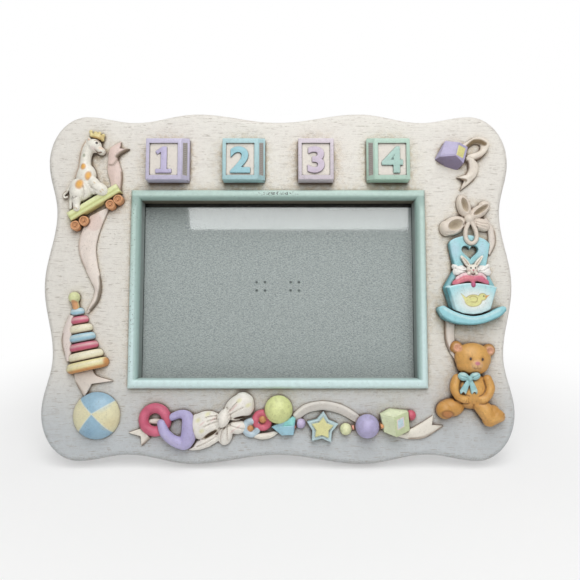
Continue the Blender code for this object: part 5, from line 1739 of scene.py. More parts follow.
@dataclass
class Cradle:
    """The rocking cradle with its bedding and the rabbit."""

    centre_u: float = 100.0
    board_rise: float = 3.6
    front_rise: float = 6.2
    rocker_rise: float = 6.8
    rocker_u: float = 100.85
    reach: float = 17.6
    heart: tuple[float, float, float, float] = (101.2, 19.2, 9, 7.8)
    # Colour of the painted shade on the cradle's low parts and left side.
    dark: Colour = (92, 152, 160)
    upper: tuple[Span, ...] = (
        (-1, -11.4), (-0.955, -10.1), (-0.84, -9.6), (-0.7, -10.9), (-0.54, -12.4), (-0.28, -14.1),
        (0.03, -15), (0.34, -14.1), (0.62, -12), (0.79, -10.6), (0.92, -9.8), (1, -10.6)
    )
    lower: tuple[Span, ...] = (
        (1.01, -12.1), (0.83, -15.1), (0.57, -17.3), (0.27, -19), (-0.03, -19.6), (-0.36, -19.2),
        (-0.65, -18), (-0.87, -15.7)
    )

    def build(self, shop: Workshop) -> None:
        """Makes the cradle, back to front."""
        self._headboard(shop)
        self._shell(shop)
        self._rockers(shop)
        self._bedding(shop)
        self._rabbit(shop)

    def _headboard(self, shop: Workshop) -> None:
        """The headboard with the heart cut through it."""
        clay = Clay((self.centre_u, 0))
        outline = smooth_path(
            [(-9.8, 23.4), (-8, 25.6), (-3, 27.4), (1, 28), (5.4, 27.2), (9.2, 25.8), (12, 23.4)], 5
        )[:, :2].tolist()
        clay.slab(outline + [(10.8, 17), (9.5, 10.6), (-7.2, 10.6), (-8.6, 17)],
                  self.board_rise, 0.7)
        u, v, wide, tall = self.heart
        edge = []
        for k in range(40):
            t = math.tau * k / 40
            y = (
                13 * math.cos(t) - 5 * math.cos(2 * t) - 2 * math.cos(3 * t) - math.cos(4 * t)
            ) / 29
            edge.append((math.sin(t) ** 3 * wide / 2 + u, y * tall + v))
        mesh = cut_out(clay.cast(), mesh_of(prism(edge, -3, 9)))
        coat = shop.painted(
            "headboard_cast", mesh, (164, 216, 222), "cradle_headboard", crisp_deg=50
        )
        # Painted shade down the left side and on the low parts; painted highlights on top and upper
        # sides.
        coat.stroke([(89.8, 24), (91, 17), (92.6, 10.6)], 1.8, self.dark, 1)
        coat.stroke([(91.4, 25.6), (97, 27.4), (101, 27.9), (105.6, 27.1), (109.4, 25.5)], 1,
                    (186, 226, 236), 1, 0.8)
        for u, turn in ((93.4, 8), (107.6, -8)):
            coat.dab((u, 20.4), (2.2, 4.6), (196, 222, 236), turn, 1.2, 0.55)
        coat.below(1.2, self.dark, 1.6)

    def _shell(self, shop: Workshop) -> None:
        """The shell and its painted front."""
        clay = Clay((self.centre_u, 0))
        clay.slab([(-7.2, 10.2), (9.3, 10.2), (14.3, 0.3), (10.9, -11.6), (1, -14.4),
                   (-9.6, -11.6), (-13, 0.3)], 3, 0.5)
        top = smooth_path([(-12.4, 0), (-6, 1.7), (1.5, 2.4), (8.5, 1.6), (14.2, 0)], 6)
        clay.slab(top[:, :2].tolist() + [(10.5, -11.6), (5.6, -13.6), (1, -14.2), (-4.2, -13.6),
                                         (-9.2, -11.6)], self.front_rise, 0.7)
        clay.score([(89.4, -0.6), (91.6, -6), (92.4, -11.6)], 0.35, 0.6)
        clay.score([(89.6, -0.8), (95, 0.4), (101.5, 1), (108.5, 0.2), (112.6, -0.8)], 0.35, 0.5)
        coat = shop.painted(
            "shell_cast", clay.cast(0.2), (172, 222, 228), "cradle_shell"
        )
        # Painted shade on the low parts and down the left side, a painted highlight along the rim.
        coat.below(2.6, self.dark, 3)
        coat.stroke([(87.6, 0.2), (89.6, -6), (91.2, -12)], 2.8, self.dark, 0.8)
        coat.stroke([(87.2, 0.6), (90, 5.4), (92.8, 10)], 1.6, self.dark, 1, 0.9)
        coat.stroke([(88.6, 0.4), (94, 1.5), (101.5, 2.1), (108.5, 1.4), (113.6, 0.2)], 1,
                    (206, 238, 242), 0.6)
        coat.dab((102, -7), (9.4, 6.4), (236, 242, 238), 0, 0.9, 0.95)
        self._duckling(coat)

    @staticmethod
    def _duckling(coat: Coat) -> None:
        """The plain painted bird on the front."""
        yellow, brown = (228, 226, 156), (176, 160, 104)
        for grow, colour in ((0.35, brown), (0, yellow)):
            coat.dab((101.6, -7), (4.2 + grow, 2.9 + grow), colour, 4, 0.15)
            coat.dab((106.4, -5), (1.9 + grow, 1.6 + grow), colour, 0, 0.2)
            coat.area([(98.6, -6.2 + grow), (95.4 - grow, -3.4 + grow), (97.4, -7.6), (99.6, -8.6)],
                      colour)
        coat.area([(107.6, -4.4), (110.2, -4), (108, -5.8)], (216, 164, 92), 0.25)
        coat.stroke([(99.6, -5.4), (101.4, -4.6), (103.6, -5.6), (103, -7.6), (100.6, -7.6)],
                    0.4, brown)
        coat.dab((107, -4.6), (0.35, 0.35), INK)

    def _rockers(self, shop: Workshop) -> None:
        """The crescent rocker."""
        def place(spots: Sequence[Point]) -> list[Span]:
            """Spots with u as a share of the reach, in face millimetres."""
            return [(self.rocker_u + s * self.reach, v) for s, v in spots]

        upper = smooth_path(place(self.upper), 4)[:, :2].tolist()
        lower = smooth_path(place(self.lower), 4)[:, :2].tolist()
        clay = Clay()
        clay.slab(upper + lower, self.rocker_rise, 1)
        coat = shop.painted(
            "rockers_cast", clay.cast(), (160, 216, 224), "cradle_rockers"
        )
        # Painted shade on the low parts and the lower edge, a painted highlight along the upper
        # edge.
        coat.below(3.6, self.dark, 2.6)
        coat.stroke(place(self.lower), 1.5, self.dark, 1.2, 0.9)
        coat.stroke([(u, v - 1.4) for u, v in place(self.upper[2:-2])], 1.1, (200, 234, 238), 1)

    def _bedding(self, shop: Workshop) -> None:
        """The pink blanket, gathered at a tie, and the white sheet."""
        clay = Clay()
        clay.rope([
            (92.8, 2.2, 4.2, 1.7), (96.4, 4.2, 5, 1.9), (99.6, 4.9, 5.2, 1.9), (101.6, 4, 5.2, 1.6),
            (103.4, 4.9, 5.2, 1.9), (106, 4.4, 5, 1.9), (108.9, 2.6, 4.2, 1.7)
        ])
        clay.rope([
            (94, 4.9, 4, 1), (97.4, 6.7, 4.8, 1.1), (100.4, 6.6, 5, 1.1), (102, 6, 5, 0.9),
            (103.6, 6.6, 5, 1.1), (106.4, 6.6, 4.8, 1.1), (108.6, 5, 4, 1)
        ])
        clay.lump((101.8, 1.4, 5.8), (1.3, 1.6, 1.4))
        for u in (94.4, 96.4, 98.4, 100.2, 103.2, 104.8, 106.4, 108):
            clay.score([(u, 6.4), (u + 0.3, 5), (u + 0.2, 3.6)], 0.3, 0.3)
        coat = shop.painted(
            "blanket_cast", clay.cast(0.2), (222, 124, 142), "cradle_blanket"
        )
        coat.stroke([(93.4, 5.2), (97.2, 7.2), (101.8, 6.9), (106.6, 7.1), (109, 5.2)], 2,
                    (240, 206, 210), 0.6)
        coat.stroke([(103.2, 4.6), (106.2, 4), (108.8, 2.4)], 2, (214, 118, 146), 1.2, 0.8)
        coat.stroke([(94, 3.2), (97.4, 4.8), (100.6, 4.6)], 0.9, (236, 158, 158), 1.2, 0.7)
        coat.dab((101.8, 1.2), (1.3, 1.6), (190, 96, 132), 0, 0.5)
        clay = Clay()
        clay.lump((96.2, 9, 2.6), (4.4, 3, 2.4), 18)
        clay.lump((108, 9, 2.6), (4.4, 3, 2.4), -18)
        clay.lump((102, 9.2, 2.6), (8.8, 3, 2.5))
        clay.lump((93.4, 11.2, 2.2), (1.9, 1.5, 1.9), -30)
        clay.lump((110.2, 11.2, 2.2), (1.9, 1.5, 1.9), 30)
        clay.score([(93.2, 10.4), (96, 8.8), (98.6, 8.6)], 0.4, 0.6)
        clay.score([(110.6, 10.4), (108, 8.8), (105.4, 8.6)], 0.4, 0.6)
        clay.score([(96, 11), (97.6, 9.6)], 0.4, 0.5)
        clay.score([(108, 11), (106.4, 9.6)], 0.4, 0.5)
        shop.painted("sheet_cast", clay.cast(0.2), (246, 243, 238), "cradle_sheet")

    @staticmethod
    def _rabbit(shop: Workshop) -> None:
        """The rabbit's head and ears over the blanket."""
        at = (101.6, 9.4)
        clay = Clay(at)
        clay.lump((0, 0, 4.8), (3, 2.7, 2.9))
        clay.lump((0, -1, 6.2), (1.7, 1.2, 1.5))
        for side in (-1, 1):
            clay.rope([(side * 1.4, 1.4, 5.2, 1.1), (side * 3.2, 4, 5.4, 1.3),
                       (side * 5.4, 6.8, 5.2, 0.7)], 0.8)
            clay.lump((side * 1.9, -2.3, 5.4), (1.2, 1, 1.4))
            clay.score([(side * 2, 2.4), (side * 3.2, 4), (side * 4.8, 6.1)], 0.4, 0.5)
            clay.score([(side * 0.9, -1.9), (side * 1, -2.9)], 0.3, 0.5)
        coat = shop.painted(
            "rabbit_cast", clay.cast(0.16), (240, 233, 220), "rabbit", offset=at
        )
        for side in (-1, 1):
            coat.stroke([(side * 2.2, 2.6), (side * 3.2, 4), (side * 4.6, 5.8)], 0.5,
                        (190, 170, 150), 0.6)
            coat.dab((side * 1.2, 0.6), (0.42, 0.5), INK, soft=0.4)
            coat.dab((side * 1.9, -0.7), (0.7, 0.5), (236, 190, 184), 0, 1, 0.7)
        coat.dab((0, -0.6), (0.55, 0.4), (204, 110, 124), soft=0.4)
        coat.stroke([(0, -0.9), (0, -1.6)], 0.3, (120, 86, 72))


@dataclass
class Bear:
    """The sitting bear with a ribbon bow at its neck."""

    seat: Span = (100, -50)
    bow: Span = (98.3, -47)
    # dark is painted shade and also the fur, groove and sole colour; light is the painted
    # highlight.
    dark: Colour = (142, 92, 48)
    light: Colour = (232, 180, 104)

    def build(self, shop: Workshop) -> None:
        """Makes bear and bow."""
        self._figure(shop)
        self._ribbon(shop)

    def _figure(self, shop: Workshop) -> None:
        """The bear's cast and paint."""
        clay = Clay(self.seat)
        clay.lump((0.4, -3.6, 1.8), (9.6, 9.4, 5))
        clay.lump((1.5, 13.3, 2.4), (9.5, 8, 5.8), -4)
        clay.lump((1.2, 9.6, 3), (8.4, 5.2, 4.6))
        for u, v in ((-6.8, 18.9), (10.2, 17.4)):
            clay.lump((u, v, 1.4), (3.4, 3.4, 2.8))
            clay.pocket((u + 0.2, v - 0.2, 6.2), (2.1, 2.1, 3.2))
        clay.lump((2.2, 10, 6.4), (3.2, 2.7, 2.6))
        clay.lump((2.2, 10.9, 8.4), (1.1, 0.8, 0.8))
        for u, v in ((-1.1, 13), (5, 12.7)):
            clay.lump((u, v, 7.5), (0.75, 0.75, 0.7))
        clay.rope([(-7.4, 2.8, 3.8, 2.5), (-8.9, -2, 4.4, 2.5), (-6.6, -6.6, 5, 2.3),
                   (-3.6, -7.8, 5.2, 2.2)])
        clay.rope([(8.4, 2.4, 3.8, 2.5), (9.6, -2.2, 4.4, 2.5), (7.4, -6.8, 5, 2.3),
                   (4.6, -8, 5.2, 2.2)])
        clay.lump((-10.6, -12.3, 1.8), (7.2, 4.8, 4.6), 6)
        clay.lump((-13.4, -13.4, 2.4), (4.8, 4.7, 4.8), -10)
        clay.rope([(3.6, -10, 2.6, 3.6), (7, -13.6, 3.2, 4.4), (9.4, -17.2, 3.4, 4.2)])
        clay.lump((10.6, -14.8, 2.6), (4, 4.3, 4.2), -40)
        clay.rope([(9, -18.2, 3.4, 3.8), (12.3, -16.4, 3.4, 3.9), (14.4, -16.6, 3, 3.1)])
        grooves = (
            ([(-5.2, 2.6), (-6.2, -1.8), (-4.6, -4.8), (-1.8, -6)], 0.4, 0.5),
            ([(6.2, 2.2), (7, -2), (5.6, -5), (3.2, -6.2)], 0.4, 0.5),
            ([(-9.2, -7.6), (-5.2, -9.6), (-1.6, -10)], 0.4, 0.5),
            ([(9.8, -7.2), (6.4, -9.8), (3.2, -10.2)], 0.4, 0.5),
            ([(0.8, -10.4), (0.6, -13.6), (1.6, -16)], 0.45, 0.7),
            ([(-6.4, 6), (-2, 4.6), (2, 4.4), (6, 5.2), (9.2, 7)], 0.45, 0.6),
            ([(2.2, 9.6), (2.2, 8.4)], 0.3, 0.5),
            ([(0.6, 8.4), (1.4, 7.8), (2.2, 8.3), (3, 7.8), (3.8, 8.4)], 0.3, 0.5),
            ([(-2.4, -8.6), (-2, -7.2)], 0.25, 0.4), ([(-3.8, -9.2), (-3.4, -7.8)], 0.25, 0.4),
            ([(16.6, -16.6), (15.6, -15.2)], 0.25, 0.5), ([(17.4, -17.8), (16.2, -16.4)], 0.25, 0.5)
        )
        for line, width, depth in grooves:
            clay.score(line, width, depth)
        coat = shop.painted(
            "bear_cast", clay.cast(0.24, 3), HONEY, "bear", offset=self.seat
        )
        # Painted highlights on the head, belly, arms and feet.
        for centre, size in (
            ((1.5, 14.8), (6.5, 4.6)), ((0.4, -2), (4.6, 4.4)), ((-8.4, -1), (1.3, 3)),
            ((9, -1.4), (1.3, 3)), ((5.6, -13.6), (2.4, 3)), ((11, -17.6), (3, 1.2)),
            ((-4.4, -7.6), (2.2, 1.3)), ((5.6, -7.8), (2.2, 1.3))
        ):
            coat.dab(centre, size, self.light, soft=1.4, amount=0.8)
        # Painted shade on the low parts, round the edges.
        coat.below(2.8, self.dark, 3.4)
        coat.dab((2.2, 10), (3.1, 2.6), (226, 180, 128), soft=0.5)
        for u, v in ((-6.6, 18.7), (10.4, 17.2)):
            coat.dab((u, v), (2.1, 2.1), (226, 172, 140), soft=0.5)
        for u, v in ((-1.1, 13), (5, 12.7)):
            coat.dab((u, v + 0.3), (1.3, 1.3), (176, 118, 62), soft=0.9, amount=0.6)
            coat.dab((u, v), (0.62, 0.8), INK, soft=0.4)
        coat.dab((2.2, 10.7), (1.3, 0.95), (206, 132, 142), soft=0.5)
        # Dark strokes along the grooves: drawn lines at mouth, nose and claws, painted shade in
        # creases.
        for line, width, _ in grooves:
            coat.stroke(line, width, self.dark, 0.6, 0.7)
        coat.dab((-12.8, -15.3), (3.5, 2.2), self.dark, -12, 0.3, 0.85)
        coat.dab((-12.8, -15.3), (2.7, 1.5), (190, 128, 74), -12, 0.4)
        for u, v in ((16.8, -16.2), (17.2, -17.6)):
            coat.dab((u, v), (0.6, 0.4), (230, 214, 184), -40, 0.6, 0.8)
        for k in range(44):
            u, v = -12.0 + (k * 5.3) % 24.4, -18.0 + (k * 7.7) % 38.0
            coat.stroke([(u, v), (u + 0.4, v - 1.4)], 0.25, self.dark, 0.4, 0.4)

    def _ribbon(self, shop: Workshop) -> None:
        """The small bow with forked tails."""
        clay = Clay(self.bow)
        clay.lump((0, 0, 7.4), (1.3, 1.5, 1.8))
        clay.lump((-2.9, 0.9, 6.2), (2.9, 2.2, 2), -16)
        clay.lump((3, 1.1, 6.2), (2.9, 2.1, 2), 18)
        for side, tip in ((-1, -3.4), (1, 2.2)):
            clay.rope([(side * 0.4, -0.8, 7.2, 0.9), (tip * 0.6, -3.8, 7.4, 1.5),
                       (tip, -6.6, 7, 1.9)], 0.6)
            clay.pocket((tip, -8.8, 8), (1, 1.9, 9))
        clay.score([(-1.4, 0.4), (-3, 0.8), (-4.6, 1.2)], 0.35, 0.5)
        clay.score([(1.4, 0.5), (3, 1.1), (4.6, 1.8)], 0.35, 0.5)
        coat = shop.painted("bear_bow_cast", clay.cast(0.16), (162, 206, 208),
                            "bear_bow", offset=self.bow)
        for spot, turn in (
            ((-3.1, 2.2), -16), ((3.2, 2.4), 18), ((-3.2, -6.8), -30), ((2.4, -6.4), 30)
        ):
            coat.dab(spot, (1.6, 0.7), (200, 226, 222), turn, 0.8, 0.7)


@dataclass
class BigBow:
    """The big bow of the bottom row: puffed loops, a pleated knot and tails."""

    knot: Span = (-27.7, -67.3)

    def build(self, shop: Workshop) -> None:
        """Makes the bow and its faint painted sprigs."""
        clay = Clay(self.knot)
        clay.lump((0, 0, 5), (3.3, 5, 4.2), -22)
        clay.lump((4.6, 3.4, 1.6), (5.4, 4.4, 4.4), 36)
        clay.lump((-9.6, -3.6, 1.4), (8.8, 6.8, 5.2), 18)
        clay.lump((-13, -4.6, 1.2), (5.4, 6.6, 5), 10)
        clay.lump((7.6, 5.4, 1.4), (8.6, 6, 5.2), 36)
        clay.lump((10.2, 6.8, 1.2), (5.2, 6.4, 5), 20)
        clay.lump((-3, -2, 1.8), (4.6, 3.2, 4.2), 20)
        clay.lump((2.8, 2.2, 1.8), (4.6, 3.2, 4.2), 36)
        clay.lump((0.4, -8.4, 0.9), (4, 5.8, 3.8), -4)
        clay.lump((6.8, -5, 0.9), (5, 3.6, 3.4), 4)
        clay.lump((-8.4, -12, 0.7), (8, 2.8, 2.8), 22)
        clay.rope([(-8, -12.6, 1.2, 2.4), (-13, -15, 1.1, 1.7), (-17.6, -16.3, 1, 0.7)])
        clay.pocket((-7, -8.4, 6.4), (4.8, 1.2, 5.6), 32)
        clay.pocket((9.5, 0.3, 5.8), (4.7, 0.8, 4.8), 8)
        for line in (
            [(-3.4, 3.6), (-3.4, 0), (-1.8, -4.2)], [(1.6, 5.2), (3.4, 0.6), (3.2, -3.6)],
            [(-4, 0.8), (-6, 1), (-9.4, 0.2)], [(-2.4, -1.4), (-6, -2.6), (-10, -4.4)],
            [(-2.2, -0.4), (-5.6, -0.8), (-8.4, -1.6)], [(2.2, 2.6), (4.6, 5.6), (6.8, 8)],
            [(2.6, 1.4), (6, 3.4), (10, 5.4)], [(0.4, -4.6), (-1.2, -8), (-1.6, -12.4)],
            [(2.4, -3.6), (5.6, -4.8), (10.4, -5.8)], [(1.6, -4.4), (1.8, -8.2), (2, -12)],
            [(-4, -9.6), (-9, -12.6), (-14, -15)]
        ):
            clay.score(line, 0.45, 0.8)
        coat = shop.painted("big_bow_cast", clay.cast(), (240, 235, 226), "big_bow",
                            SOFT_PAINT, self.knot)
        coat.dab((0, 0.4), (2.6, 4), (248, 242, 232), -22, 0.9, 0.9)
        # Painted shade in the loops' two slits.
        coat.dab((-7, -8.4), (4.4, 1), (176, 164, 136), 32, 0.4, 0.9)
        coat.dab((9.5, 0.3), (4.5, 0.6), (160, 146, 120), 8, 0.4, 0.9)
        for u, v in ((-13, -1), (-8.2, 2), (-16.2, -6), (8, 9), (12.6, 6.6), (-11, -6.4)):
            coat.dab((u, v), (1.3, 0.9), (226, 222, 160), 30, 1.2, 0.6)
        for u, v in ((-10.8, -2.6), (-5.4, -0.6), (4.4, 4.4), (6, 6.2), (7.6, -4.4), (4.6, -6.6)):
            coat.dab((u, v), (1.6, 0.4), (226, 186, 184), 40, 0.9, 0.5)
        clay = Clay()
        clay.rope([(-12.6, -76.4, 0.8, 1.2), (-8.6, -77, 1.2, 1.7), (-4, -76.4, 1.2, 1.6),
                   (-0.6, -74.8, 0.9, 1)])
        shop.painted("ribbon_under_rings", clay.cast(), IVORY, finish=SOFT_PAINT)


@dataclass
class RingsAndLink:
    """Teething rings, with beads in the small ones, and the three-sided link."""

    rings: tuple[tuple[str, str, str, Colour, Point, float, float, Optional[tuple[Point, float]]],
                 ...] = (
        ("red_ring_cast", "red_ring", "rose_pink", (204, 96, 122), (-63.5, -68.5), 8.7, 2.75, None),
        ("teether_cast", "blue_teether", "powder_blue", (186, 204, 214), (-13.7, -72.6), 5.2, 1.8,
         ((-14, -72.8), 1.8)),
        ("pink_ring_cast", "pink_ring", "rose_pink", (206, 98, 118), (-8, -68.8), 5.6, 1.9,
         ((-7.8, -68.4), 2)),
    )

    def build(self, shop: Workshop) -> None:
        """Makes the rings and the link."""
        for name, node, slot, paint, at, outer, tube, bead in self.rings:
            clay = Clay()
            middle = outer - tube
            clay.rope([
                (at[0] + middle * math.cos(a), at[1] + middle * math.sin(a), tube * 0.55, tube)
                for a in (math.tau * k / 12 for k in range(12))
            ], closed=True)
            if bead:
                clay.lump((*bead[0], bead[1] * 0.6), (bead[1], bead[1], bead[1]))
            coat = shop.painted(name, clay.cast(), paint, node)
            # Painted highlights round each ring.
            light = lighter(paint, 34, 250)
            for k in range(3):
                turn = 0.7 + 2.1 * k
                coat.dab((at[0] + middle * math.cos(turn), at[1] + middle * math.sin(turn)),
                         (tube * 0.8, tube * 0.5), light, math.degrees(turn) + 90, 1.2, 0.45)
            if bead:
                coat.dab(bead[0], (bead[1] * 0.95,) * 2, (204, 146, 94), soft=0.25)
        clay = Clay()
        clay.rope([(-59.8, -70.2, 3.2, 2.4), (-57.8, -74.8, 4.2, 2.7), (-53.4, -78.8, 3.4, 2.9),
                   (-48, -80.2, 2.6, 3.6), (-46, -76.4, 2.6, 4.1), (-45.8, -71, 2.5, 3.9),
                   (-47, -66.6, 2.4, 2.9), (-50.8, -65.6, 2, 2.2), (-54.8, -67.2, 1.8, 2)])
        coat = shop.painted("link_cast", clay.cast(), (186, 178, 218), "lilac_link")
        coat.stroke(
            [(-57.6, -75.4), (-53.4, -79.6), (-49.6, -81.8)], 1.2, (206, 200, 230), 1.4, 0.5
        )


@dataclass
class Bead:
    """A bead or ball cast half sunk in the face."""

    name: str
    slot: str
    paint: Colour
    at: Span
    radius: float
    rise: float
    node: Optional[str] = None

    def build(self, shop: Workshop) -> None:
        """Makes the bead."""
        centre, r = self.rise * 0.35, self.radius
        clay = Clay()
        clay.lump((*self.at, centre), (r, r, self.rise - centre))
        mesh = clay.cast(0.2 if r < 4 else 0.25, 2)
        coat = shop.painted(self.name, mesh, self.paint, self.node)
        red, green, blue = self.paint
        light, dark = lighter(self.paint, 24, 252), (red * 0.8, green * 0.8, blue * 0.8)
        # Painted highlight on the upper left; the dark dabs below are mottling.
        coat.dab((self.at[0] - r * 0.15, self.at[1] + r * 0.3), (r * 0.6,) * 2,
                 light, soft=1.4, amount=0.7)
        for k in range(int(r * 2)):
            turn = 2.4 * k
            away = r * (0.3 + 0.55 * ((k * 0.618) % 1))
            coat.dab((self.at[0] + away * math.cos(turn), self.at[1] + away * math.sin(turn)),
                     (r * 0.17, r * 0.1), dark, k * 50, 0.9, 0.15)


@dataclass
class Star:
    """The star: a blue border and a raised yellow middle."""

    centre: Span = (23, -72.5)
    outer: Span = (8.6, 5.3)
    inner: Span = (5.8, 3.4)

    def points(self, grow: float = 0, inner: bool = False) -> list[Span]:
        """A five-pointed outline about the centre, turned a little."""
        radii = self.inner if inner else self.outer
        turns = [math.radians(86 + 36 * k) for k in range(10)]
        return [(self.centre[0] + (radii[k % 2] + grow) * math.cos(turn),
                 self.centre[1] + (radii[k % 2] + grow) * math.sin(turn))
                for k, turn in enumerate(turns)]

    def build(self, shop: Workshop) -> None:
        """Makes the star."""
        clay = Clay()
        clay.slab(self.points(), 4.2, 0.8)
        clay.slab(self.points(inner=True), 5.3, 0.7)
        ring = self.points(0.4, True)
        for first, second in zip(ring, ring[1:] + ring[:1]):
            clay.score([first, second], 0.3, 0.25)
        coat = shop.painted("star_cast", clay.cast(0.18, 2), (192, 214, 218), "star")
        # Painted shade on the low sides of the border.
        coat.below(2.6, (140, 172, 176), 2)
        coat.area(self.points(0.1, True), (226, 222, 162))


